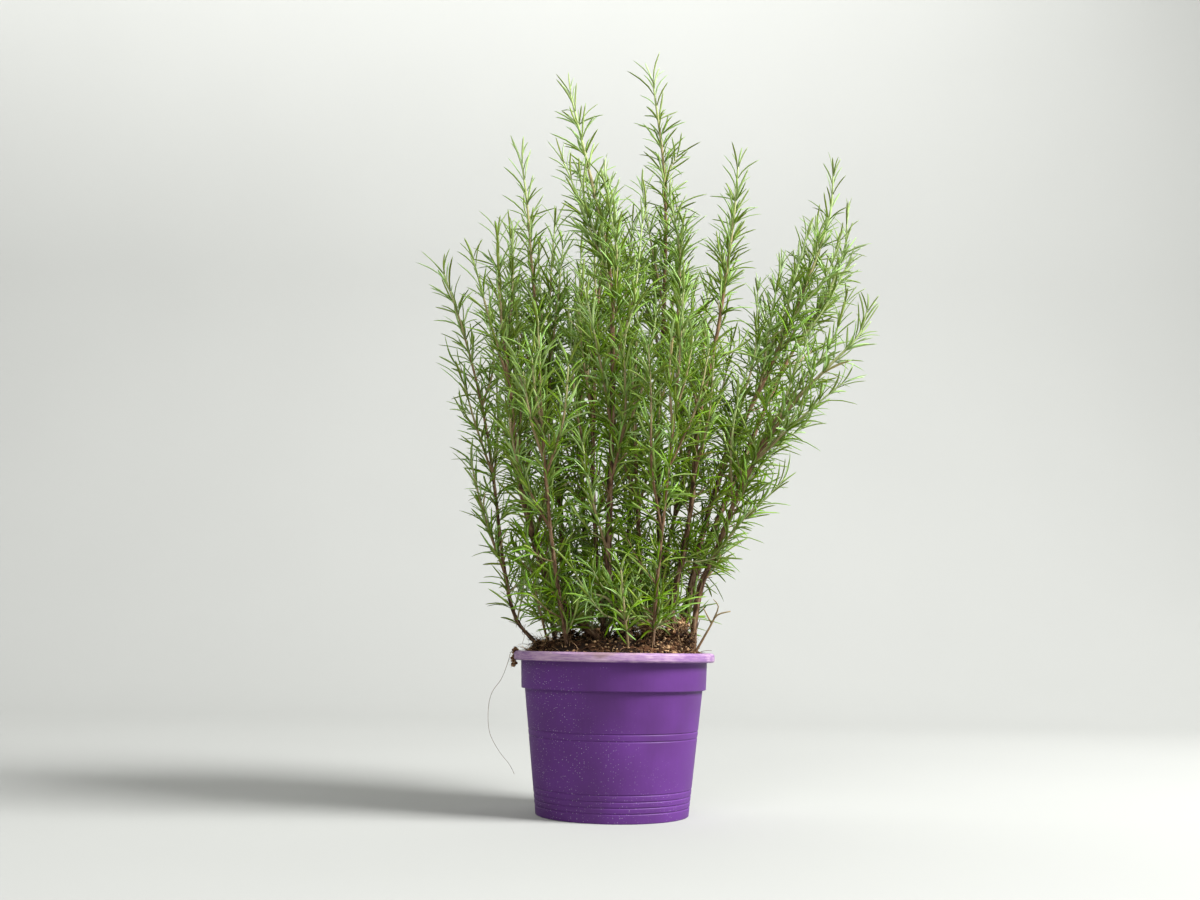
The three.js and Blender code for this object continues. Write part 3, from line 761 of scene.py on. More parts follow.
@dataclass
class GrowingMix:
    """The coir mix that fills the pot, with the loose fibres and crumbs on it."""

    coir: bpy.types.Material
    radius: float = 90.35
    edge_height: float = 154.0
    crown: float = 14.0
    steepness: float = 5.0
    heaps: tuple[tuple[float, float, float, float], ...] = (  # x, y, height and spread
        (44, -20, 11, 22), (-72, -20, 5, 18), (-20, 34, 5, 24), (30, 52, 6, 20))
    tangles: tuple[tuple[float, float, float, float], ...] = (  # x, y and z of the middle, and radius
        (30, -40, 182, 11), (56, -34, 176, 11), (70, -26, 170, 11), (42, -34, 188, 10),
        (66, -18, 184, 8), (-74, -38, 163, 7), (-62, -50, 163, 7), (-20, 20, 174, 15),
        (12, 4, 176, 15), (-46, -6, 172, 13), (12, 42, 176, 15), (-20, -30, 172, 11),
        (44, 20, 174, 14))
    lump: float = 1.2
    wall_rings: tuple[tuple[float, float], ...] = ((73.1, 2.8), (86.0, 119.2), (89.3, 123.2))
    segments: int = 120
    rings: int = 44
    grain: float = 1.5
    dry_share: float = 0.33  # how many of the crumbs and fibres are dry
    dry_side: float = 0.38  # how much paler the crumbs are in the dry heap on the right
    dry_top: float = 0.62  # how much paler the clods are that stand proud of the mix

    def top(self, x: float, y: float) -> float:
        """Finds the smooth top of the mix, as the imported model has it.

        Args:
            x: How far to the right.
            y: How far to the back.

        Returns:
            The height there.
        """
        share = min(math.hypot(x, y) / self.radius, 1.0)
        heaps = sum(height * math.exp(-((x - at_x) ** 2 + (y - at_y) ** 2) / spread ** 2)
                    for at_x, at_y, height, spread in self.heaps)
        lumps = self.lump * math.sin(x * 0.13 + 1) * math.cos(y * 0.17)
        return (self.edge_height + self.crown * (1 - share ** self.steepness)
                + (heaps + lumps) * (1 - share ** 6))

    def rough_top(self, x: float, y: float) -> float:
        """Finds the top with its crumbs.

        Args:
            x: How far to the right.
            y: How far to the back.

        Returns:
            The height there.
        """
        crumbs = noise.fractal(Vector((x, y, 3.0)) * 0.16, 0.7, 2.1, 5)
        clods = noise.noise(Vector((x, y, 9.0)) * 0.045) + noise.noise(Vector((x, y, 5.0)) * 0.12)
        edge = 1 - smoothstep(math.hypot(x, y), self.radius * 0.9, self.radius)
        return self.top(x, y) + (self.grain * crumbs + 2.0 * clods) * (0.35 + 0.65 * edge)

    def build(self) -> None:
        """Makes the mix and everything loose on it."""
        angles = angles_round(self.segments)
        circle = np.stack([np.cos(angles), np.sin(angles)], axis=1)
        rings = [np.column_stack([circle * radius, np.full(self.segments, height)])
                 for radius, height in self.wall_rings]
        for ring in range(self.rings):
            radius = self.radius * (1 - ring / self.rings) + 0.4
            ground = circle * min(radius, self.radius)
            rings.append(np.column_stack([ground, [self.rough_top(x, y) for x, y in ground]]))
        draft = MeshDraft()
        points = np.concatenate(rings)
        tones = [0.8 * noise.noise(Vector(point) * 0.09) for point in points]
        draft.add((points, join_rings(len(rings), self.segments)), tone=np.array(tones) - 0.08)
        place(draft.to_object("coir_mix", self.coir), Slot.GROWING_MIX, "growing_mix")
        self.build_fibres()
        self.build_crumbs()
        self.build_tangles()

    def fibre(self, start: np.ndarray, way: np.ndarray, length: float, width: float,
              rng: random.Random) -> Skin:
        """Makes one curly fibre.

        Args:
            start: Where it starts.
            way: Which way it sets off.
            length: How long it is.
            width: How thick it is.
            rng: Where its curls come from.

        Returns:
            Its points and faces.
        """
        steps = max(4, int(length / 2.6))
        bend = np.array([rng.uniform(-1, 1), rng.uniform(-1, 1), rng.uniform(-0.9, 0.35)])
        points = [start]
        for _ in range(steps):
            bend = unit(bend + 0.7 * np.array([rng.uniform(-1, 1) for _ in range(3)]))
            way = unit(way + 0.42 * bend)
            points.append(points[-1] + way * length / steps)
        centres = np.array(points)
        radii = width / 2 * np.linspace(1.0, 0.45, len(centres))
        return tube(centres, radii, 3)

    def build_fibres(self) -> None:
        """Strews loose fibres over the mix, thickest in the heaps and along the rim."""
        rng = random.Random(41)
        draft = MeshDraft()
        # x, y, spread and how many
        spots = [(x, y, spread * 0.9, int(22 * height)) for x, y, height, spread in self.heaps]
        spots += [(64, -46, 20, 190), (-62, -52, 22, 150), (0, 0, 80, 420), (20, -70, 40, 160)]
        for at_x, at_y, spread, count in spots:
            for _ in range(count):
                x, y = rng.gauss(at_x, spread * 0.6), rng.gauss(at_y, spread * 0.6)
                lift = abs(rng.gauss(0, 1.0))
                turn, rise = rng.uniform(0, math.tau), rng.gauss(0.15, 0.35)
                length, width = rng.uniform(4, 15), rng.uniform(0.25, 0.8)
                shade = self.shade(rng)
                share = math.hypot(x, y) / (self.radius - 3)
                if share > 1:
                    x, y = x / share, y / share
                way = np.array([math.cos(turn), math.sin(turn), rise])
                start = np.array([x, y, self.top(x, y) + lift])
                draft.add(self.fibre(start, unit(way), length, width, rng), tone=shade)
        place(draft.to_object("coir_fibres", self.coir), Slot.GROWING_MIX)

    def shade(self, rng: random.Random) -> float:
        """Picks the tone of one fibre or crumb: most are damp and dark, and the dry ones pale."""
        return rng.uniform(0.5, 1.05) if rng.random() < self.dry_share else rng.uniform(-0.4, 0.3)

    def build_tangles(self) -> None:
        """Piles loose clods of fibres and crumbs on the heaps."""
        rng = random.Random(23)
        draft = MeshDraft()
        for x, y, z, size in self.tangles:
            centre = np.array([x, y, z])
            dry = self.dry_top * smoothstep(z, 175, 182)
            for number in range(int(size * 17)):
                way = unit(np.array([rng.gauss(0, 1) for _ in range(3)]))
                start = centre + way * (size, size, size * 0.8) * rng.uniform(0.2, 0.9)
                if number % 6 == 0:
                    draft.add(self.crumb(start, rng.uniform(0.9, 2.6), number * 1.9),
                              tone=self.shade(rng) + dry)
                curl = unit(np.array([rng.gauss(0, 1), rng.gauss(0, 1), rng.gauss(0, 0.8)]))
                draft.add(self.fibre(start, curl, rng.uniform(4, 13), rng.uniform(0.3, 0.9), rng),
                          tone=self.shade(rng) + dry)
        place(draft.to_object("coir_tangles", self.coir), Slot.GROWING_MIX)

    def crumb(self, centre: np.ndarray, size: float, seed: float) -> Skin:
        """Makes one crumb of mix.

        Args:
            centre: Its middle.
            size: Its radius.
            seed: Which crumb it is, so that no two are alike.

        Returns:
            Its points and faces.
        """
        angles = angles_round(7)
        rings = []
        for latitude in (-1.25, -0.75, -0.1, 0.55, 1.15):
            flat = math.cos(latitude)
            ring = np.stack([flat * np.cos(angles + latitude), flat * np.sin(angles + latitude),
                             np.full(7, math.sin(latitude))], axis=1)
            uneven = [1 + 0.55 * noise.noise(Vector(point) * 1.7 + Vector((seed, 0, 0)))
                      for point in ring]
            rings.append(centre + ring * size * np.array(uneven)[:, None] * (1, 1, 0.75))
        return np.concatenate(rings), join_rings(5, 7)

    def build_crumbs(self) -> None:
        """Strews crumbs and small clods over the mix."""
        rng = random.Random(77)
        draft = MeshDraft()
        # x, y, spread, how many, and the radius of the largest
        spots = [(x, y, spread, int(5 * height), 2.4) for x, y, height, spread in self.heaps]
        spots += [(0, 0, 75, 190, 1.5), (66, -44, 22, 70, 2.0), (-64, -50, 22, 50, 1.6),
                  (0, -68, 42, 260, 2.0), (44, -66, 20, 110, 2.2)]
        for at_x, at_y, spread, count, largest in spots:
            for number in range(count):
                x, y = rng.gauss(at_x, spread * 0.55), rng.gauss(at_y, spread * 0.55)
                size = rng.uniform(0.5, 1.0) ** 2 * largest
                shade = self.shade(rng) + self.dry_side * smoothstep(x, 30, 60)
                share = math.hypot(x, y) / (self.radius - 4)
                if share > 1:
                    x, y = x / share, y / share
                centre = np.array([x, y, self.top(x, y) + size * 0.4])
                draft.add(self.crumb(centre, size, number * 3.7), tone=shade)
        place(draft.to_object("coir_crumbs", self.coir), Slot.GROWING_MIX)


@dataclass(frozen=True)
class Habit:
    """How one kind of shoot grows."""

    spacing: float  # from pair to pair of its needles, once it is grown
    tip_spacing: float
    needle: float  # the length of its needles, as a share of the longest
    slim: float  # their width, as a share of the widest
    step: float  # from ring to ring of its bark
    sides: int


class Growth(Enum):
    """The kinds of shoot, and how each grows."""

    LEADER = Habit(14.5, 8.0, 1.0, 1.0, 3.5, 11)
    SIDE_SHOOT = Habit(13.0, 7.5, 0.98, 0.98, 4.5, 8)
    SPRIG = Habit(9.5, 6.0, 0.92, 0.96, 6.0, 5)
    TUFT = Habit(3.4, 3.0, 0.88, 0.9, 4.0, 4)


@dataclass
class NeedleBed:
    """All the needles of one shoot. Each is a narrow leaf with a groove along its upper face and
    its edges rolled under."""

    # across and up, anticlockwise as seen from the tip, as shares of half the width
    section: tuple[tuple[float, float], ...] = (
        (1.0, -0.18), (0.62, 0.42), (0.0, 0.18), (-0.62, 0.42), (-1.0, -0.18), (0.0, -0.4))
    underneath: tuple[float, ...] = (0.42, 0.0, 0.0, 0.0, 0.42, 1.0)
    # how far along, and how wide there
    stations: tuple[tuple[float, float], ...] = ((0.0, 0.5), (0.32, 0.98), (0.62, 1.0), (0.88, 0.7))
    # of each needle: where it leaves the stem, which way it sets off, which way its upper face
    # looks, its length and width, how far its tip bends back and to its side as shares of its
    # length, its age from 0 to 1, and the tone from 0 to 1 that sets it off from its neighbours
    rows: list[tuple[float, ...]] = field(default_factory=list)

    def skin(self) -> tuple[Skin, dict[str, np.ndarray]]:
        """Makes the skins of all the needles at once.

        Returns:
            The points and faces, and the marks of each point.
        """
        rows = np.array(self.rows)
        root, way, face = rows[:, 0:3], rows[:, 3:6], rows[:, 6:9]
        length, width, arch, swerve, age, tone = (rows[:, [column]] for column in range(9, 15))
        face = unit(face - way * np.sum(face * way, axis=1, keepdims=True))
        side = np.cross(face, way)
        bend = side * swerve - face * arch
        section = np.array(self.section)
        points = []
        for share, breadth in self.stations:
            centre = root + length * (way * share + bend * share ** 2)
            slope = unit(way + 2 * share * bend)
            top = unit(np.cross(slope, side))
            half = (width / 2 * breadth)[:, None]
            points.append(centre[:, None] + half * (side[:, None] * section[:, [0]]
                                                    + top[:, None] * section[:, [1]]))
        points.append((root + length * (way + bend))[:, None])
        points = np.concatenate(points, axis=1)

        sides, rings = len(self.section), len(self.stations)
        each = points.shape[1]
        wall, start, _ = join_rings(rings, sides)
        last = np.arange(sides) + (rings - 1) * sides
        tip = np.stack([last, np.roll(last, -1), np.full(sides, each - 1)], axis=1)
        offsets = (np.arange(len(rows)) * each)[:, None, None]
        groups = [(group + offsets).reshape(-1, group.shape[1]) for group in (wall, start, tip)]
        along = [share for share, _ in self.stations for _ in range(sides)] + [1.0]
        under = [*self.underneath * rings, 0.3]
        marks = {
            "age": np.repeat(age, each), "tone": np.repeat(tone, each),
            "along": np.tile(along, len(rows)), "under": np.tile(under, len(rows)),
        }
        return (points.reshape(-1, 3), groups), marks


@dataclass
class Stem:
    """A stem or side shoot that needles grow from."""

    path: Path
    growth: Growth
    thick: float  # its radius at the start
    thin: float  # its radius at the tip
    bare: float  # the length at the start without needles
    start: tuple[np.ndarray, ...] = ()  # points before the path
    old: float = 0.0  # how much older its tip is than that of a leader, as a length of growth

    def radius_at(self, distance: float) -> float:
        """Finds the radius of the stem at a length back from its tip."""
        return lerp(self.thin, self.thick, min(distance / self.path.length, 1.0) ** 0.8)

    def bark(self, draft: MeshDraft, seed: float) -> None:
        """Adds the skin of the stem, with ridges where it is woody.

        Args:
            draft: The mesh that it joins.
            seed: Which stem it is, so that no two have the same ridges.
        """
        habit = self.growth.value
        sides = habit.sides
        count = max(2, round(self.path.length / habit.step)) + 1
        travelled = np.linspace(0, self.path.length, count)
        centres = [*self.start, *(self.path.at(t) for t in travelled)]
        distances = [self.path.length] * len(self.start) + list(self.path.length - travelled)
        angles = angles_round(sides)
        radii, ages, around = [], [], []
        for number, distance in enumerate(distances):
            radius = self.radius_at(distance)
            age = min((distance + self.old) / OLD_WOOD, 1.0)
            rough = 0.05 + 0.36 * smoothstep(age, 0.3, 0.8)
            lift = [noise.noise(Vector((math.cos(a) * 1.6, math.sin(a) * 1.6, distance * 0.07 + seed)))
                    + 0.7 * noise.noise(Vector((math.cos(a) * 3, math.sin(a) * 3, distance * 0.2 + seed)))
                    for a in angles]
            radii.append(radius * (1 + rough * np.array(lift)))
            ages.append(np.full(sides, age))
            around.append(np.stack([radius * np.cos(angles), radius * np.sin(angles),
                                    np.full(sides, distance + number * 0.01)], axis=1))
        ring = np.concatenate(around)
        draft.add(tube(np.array(centres), np.array(radii), sides), age=np.concatenate(ages),
                  ring_x=ring[:, 0], ring_y=ring[:, 1], ring_z=ring[:, 2])


@dataclass
class Shoot:
    """One shoot that rises from the mix, with its side shoots."""

    name: str
    foot: tuple[float, float]
    bare: float
    stem: tuple[Point, ...]
    forks: tuple[Fork, ...] = ()
    low_sprigs: int = 8
    foot_radius: float = 2.6
    side_shoots: int = 3
    tip_age: float = 25.0
    fork_radius: float = 1.35
    tip_radius: float = 0.85
    side_taper: float = 0.85  # how much thinner the tips of the side shoots are
    depth: float = 18.0  # how far the stem reaches into the mix
    clear_rise: float = 4.0
    bare_fork: float = 10.0
    needle_length: float = 32.0
    tip_length: float = 23.5
    needle_width: float = 2.35
    side_top: float = 625.0  # how high a side shoot may end
    depth_limits: tuple[float, float] = (-137.0, 171.0)  # to the front and to the back
    # at each height, how far the needles reach to the left and to the right
    flanks: tuple[tuple[float, float, float], ...] = (
        (190, -126, 112), (290, -143, 158), (350, -159, 182), (430, -176, 260), (540, -201, 278),
        (800, -201, 278))
    gap: float = 2.0  # from the tip of a needle to the pot or the mix
    mix: GrowingMix = field(init=False)
    pot: Pot = field(init=False)
    rng: random.Random = field(init=False)
    wood: MeshDraft = field(default_factory=MeshDraft, init=False)
    needles: NeedleBed = field(default_factory=NeedleBed, init=False)

    def build(self, mix: GrowingMix, pot: Pot, seed: int, leaf: bpy.types.Material,
              bark: bpy.types.Material) -> int:
        """Grows the shoot and makes its two pieces.

        Args:
            mix: What the shoot stands in.
            pot: What its needles keep off.
            seed: Which shoot it is, so that no two are alike.
            leaf: What its needles are made of.
            bark: What its stems are made of.

        Returns:
            How many needles it has.
        """
        self.mix, self.pot, self.rng = mix, pot, random.Random(seed)
        ground = mix.top(*self.foot)
        foot, clear = (np.array([*self.foot, z]) for z in (ground - self.depth, ground + self.clear_rise))
        main = Path([clear, *self.stem])
        stems = [Stem(main, Growth.LEADER, self.foot_radius, self.tip_radius, self.bare, (foot,),
                      self.age_of_tip(self.stem[-1][2]))]
        for height, points in self.forks:
            stems.append(Stem(Path([main.at_height(height), *points]), Growth.SIDE_SHOOT,
                              self.fork_radius, self.tip_radius * self.side_taper, self.bare_fork,
                              old=self.age_of_tip(points[-1][2])))
        for number, stem in enumerate(stems):
            self.grow(stem, seed * 10.0 + number)
        for number in range(self.side_shoots):
            self.add_side_shoot(main, seed * 10.0 + number + 5.5)
        for _ in range(self.low_sprigs):
            self.add_low_sprig(main)
        self.add_shreds(main)
        place(self.wood.to_object(f"{self.name}_bark", bark), Slot.BARK, self.name)
        skin, marks = self.needles.skin()
        foliage = MeshDraft()
        foliage.add(skin, **marks)
        place(foliage.to_object(f"{self.name}_needles", leaf), Slot.LEAF, self.name)
        return len(self.needles.rows)

    def age_of_tip(self, height: float) -> float:
        """Tells how much older a tip at this height is than a leader's, as a length of growth."""
        return self.tip_age + 45 * (1 - smoothstep(height, 400, 640))

    def add_side_shoot(self, main: Path, seed: float) -> None:
        """Grows a side shoot that fills the plant between its stems.

        Args:
            main: The line of the shoot's own stem.
            seed: Which side shoot it is, so that no two have the same bark.
        """
        rng = self.rng
        for _ in range(5):
            travelled, turn = main.length * rng.uniform(0.3, 0.72), rng.uniform(0, math.tau)
            lean, length = math.radians(rng.uniform(10, 24)), rng.uniform(80, 165)
            point, way = main.at(travelled), main.way(travelled)
            length = min(length, (main.length - travelled) * 0.64, self.side_top - point[2])
            heading = lean_out(way, across(way, turn), lean)
            half = point + heading * length * 0.5
            tip = half + unit(heading + way + UP * 0.4) * length * 0.5
            if self.is_free(tip + heading * self.needle_length):
                stem = Stem(Path([point, half, tip]), Growth.SIDE_SHOOT, self.fork_radius,
                            self.tip_radius * self.side_taper, 0.35 * length, old=self.age_of_tip(tip[2]))
                self.grow(stem, seed)
                return

    def add_shreds(self, main: Path) -> None:
        """Lets shreds of old bark peel from the foot of the shoot.

        Args:
            main: The line of the shoot's own stem.
        """
        rng = self.rng
        for _ in range(int(self.foot_radius * 22)):
            travelled, turn = rng.uniform(0, 1) ** 1.6 * 150, rng.uniform(0, math.tau)
            length, width = rng.uniform(3, 11), rng.uniform(0.4, 1.1)
            point, way = main.at(travelled), main.way(travelled)
            outward = across(way, turn)
            start = point + outward * self.foot_radius * 0.8
            heading = unit(way * rng.choice((-1, 1)) + outward * rng.uniform(0.1, 0.9))
            self.wood.add(self.mix.fibre(start, heading, length, width, rng), age=rng.uniform(0.6, 1.0),
                          ring_x=travelled, ring_y=turn, ring_z=length)

    def add_low_sprig(self, main: Path) -> None:
        """Grows a leafy sprig from the old wood near the foot of the shoot.

        Args:
            main: The line of the shoot's own stem.
        """
        rng = self.rng
        for _ in range(12):
            travelled = lerp(6, self.bare + 45, rng.random() ** 1.6)
            turn = rng.uniform(0, math.tau)
            lean, length = math.radians(rng.uniform(35, 88)), rng.uniform(22, 62)
            point, way = main.at(travelled), main.way(travelled)
            heading = lean_out(way, across(way, turn), lean)
            bend = unit(heading + UP * rng.uniform(0.0, 0.9))
            stops = [point, point + heading * length * 0.5, point + (heading + bend) * length * 0.5]
            # it stays over the pot, and may reach out further the higher it ends
            reach = math.hypot(*stops[2][:2]) - 0.25 * (stops[2][2] - 190)
            if reach < 92 and self.is_free(stops[1] - UP * 2) and self.is_free(stops[2] - UP * 4):
                self.grow(Stem(Path(stops), Growth.SPRIG, 0.95, 0.6, 3.0, old=55), travelled)
                return

    def is_free(self, point: np.ndarray) -> bool:
        """Tells whether a needle may end at a point.

        Args:
            point: The tip of the needle.

        Returns:
            False in the mix or the pot, and past the plant's own spread.
        """
        heights, lefts, rights = np.transpose(self.flanks)
        left, right = np.interp(point[2], heights, lefts), np.interp(point[2], heights, rights)
        front, back = self.depth_limits
        if not (left < point[0] < right and front < point[1] < back):
            return False
        radius = math.hypot(point[0], point[1])
        if radius > self.pot.rim_radius + self.gap:
            return True
        if radius > self.mix.radius - self.gap:
            return point[2] > self.pot.height + self.gap
        return point[2] > self.mix.top(point[0], point[1]) + self.gap

    def grow(self, stem: Stem, seed: float) -> None:
        """Grows a stem with pairs of needles along it, each pair square to the one below it.

        Args:
            stem: The stem.
            seed: Which stem it is, so that no two have the same bark.
        """
        stem.bark(self.wood, seed)
        rng = self.rng
        habit = stem.growth.value
        distance, turn = 0.3, rng.uniform(0, math.pi)
        while distance < stem.path.length - stem.bare:
            travelled = stem.path.length - distance
            point, way = stem.path.at(travelled), stem.path.way(travelled)
            age = min((distance + stem.old) / OLD_LEAF, 1.0)
            for side in (0.0, math.pi):
                angle = turn + side + math.radians(rng.uniform(-14, 14))
                self.add_needle(stem, point, way, angle, distance, age)
                if stem.growth in (Growth.LEADER, Growth.SIDE_SHOOT) and distance > 30:
                    self.add_axil(stem, point, way, angle, distance)
            turn += math.pi / 2 + math.radians(rng.uniform(-14, 14))
            step = lerp(habit.tip_spacing, habit.spacing, smoothstep(distance, 0, 28))
            distance += step * rng.uniform(0.8, 1.2) * (0.35 if distance < 1 else 1.0)

    def add_needle(self, stem: Stem, point: np.ndarray, way: np.ndarray, angle: float,
                   distance: float, age: float) -> None:
        """Grows one needle, or leaves it out where there is no room.

        Args:
            stem: The stem that it grows on.
            point: The middle of the stem there.
            way: Which way the stem runs there.
            angle: Which side of the stem it grows on.
            distance: The length back from the tip of the stem.
            age: 0 for a new leaf and 1 for an old one.
        """
        rng = self.rng
        habit = stem.growth.value
        grown = distance + 0.5 * stem.old
        opened = 1 - math.exp(-grown / 42)
        tilt = 10 + 20 * opened + 30 * smoothstep(grown, 90, 280)
        full = lerp(self.tip_length, self.needle_length, smoothstep(grown, 0, 40))
        for _ in range(3):
            lean = math.radians(tilt + rng.gauss(0, 8))
            length = habit.needle * full * rng.uniform(0.7, 1.16)
            outward = across(way, angle)
            start = point + outward * stem.radius_at(distance) * 0.7  # inside the bark
            heading = unit(lean_out(way, outward, lean))
            face = unit(way * math.sin(lean) - outward * math.cos(lean))
            arch = rng.gauss(0.42, 0.16) * (0.6 + 0.4 * opened)
            swerve = rng.gauss(0, 0.09)
            width = self.needle_width * habit.slim * (0.8 + 0.2 * opened) * rng.uniform(0.86, 1.12)
            tone = rng.random()
            if self.is_free(start + heading * length):
                self.needles.rows.append((*start, *heading, *face, length, width, arch, swerve, age,
                                          tone))
                return

    def add_axil(self, stem: Stem, point: np.ndarray, way: np.ndarray, angle: float,
                 distance: float) -> None:
        """Grows the tuft or the sprig that sits above an older needle.

        Args:
            stem: The stem that it grows on.
            point: The middle of the stem there.
            way: Which way the stem runs there.
            angle: Which side of the stem it grows on.
            distance: The length back from the tip of the stem.
        """
        rng = self.rng
        chance = rng.random()
        lean = math.radians(rng.gauss(lerp(36, 54, smoothstep(distance, 60, 240)), 10))
        outward = across(way, angle + math.radians(rng.uniform(-12, 12)))
        heading = unit(lean_out(way, outward, lean))
        if chance < lerp(0.04, 0.15, smoothstep(distance, 90, 300)) and distance > 80:
            length = rng.uniform(16, 34) + rng.uniform(0, 34) * smoothstep(distance, 100, 300)
            growth = Growth.SPRIG
        elif chance < 0.95 * smoothstep(distance, 8, 60) - 0.3 * smoothstep(distance, 120, 300):
            length = rng.uniform(1.6, 4.0) + 3.0 * smoothstep(distance, 60, 220)
            growth = Growth.TUFT
        else:
            return
        bend = unit(heading + UP * 0.35)
        stops = [point, point + heading * length * 0.5, point + (heading + bend) * length * 0.5]
        if not self.is_free(stops[-1]):
            return
        thick, bare = (0.75, 2.0) if growth is Growth.SPRIG else (0.5, 1.0)
        twig = Stem(Path(stops), growth, thick, thick * 0.7, bare, old=30 + 0.36 * distance)
        self.grow(twig, distance)


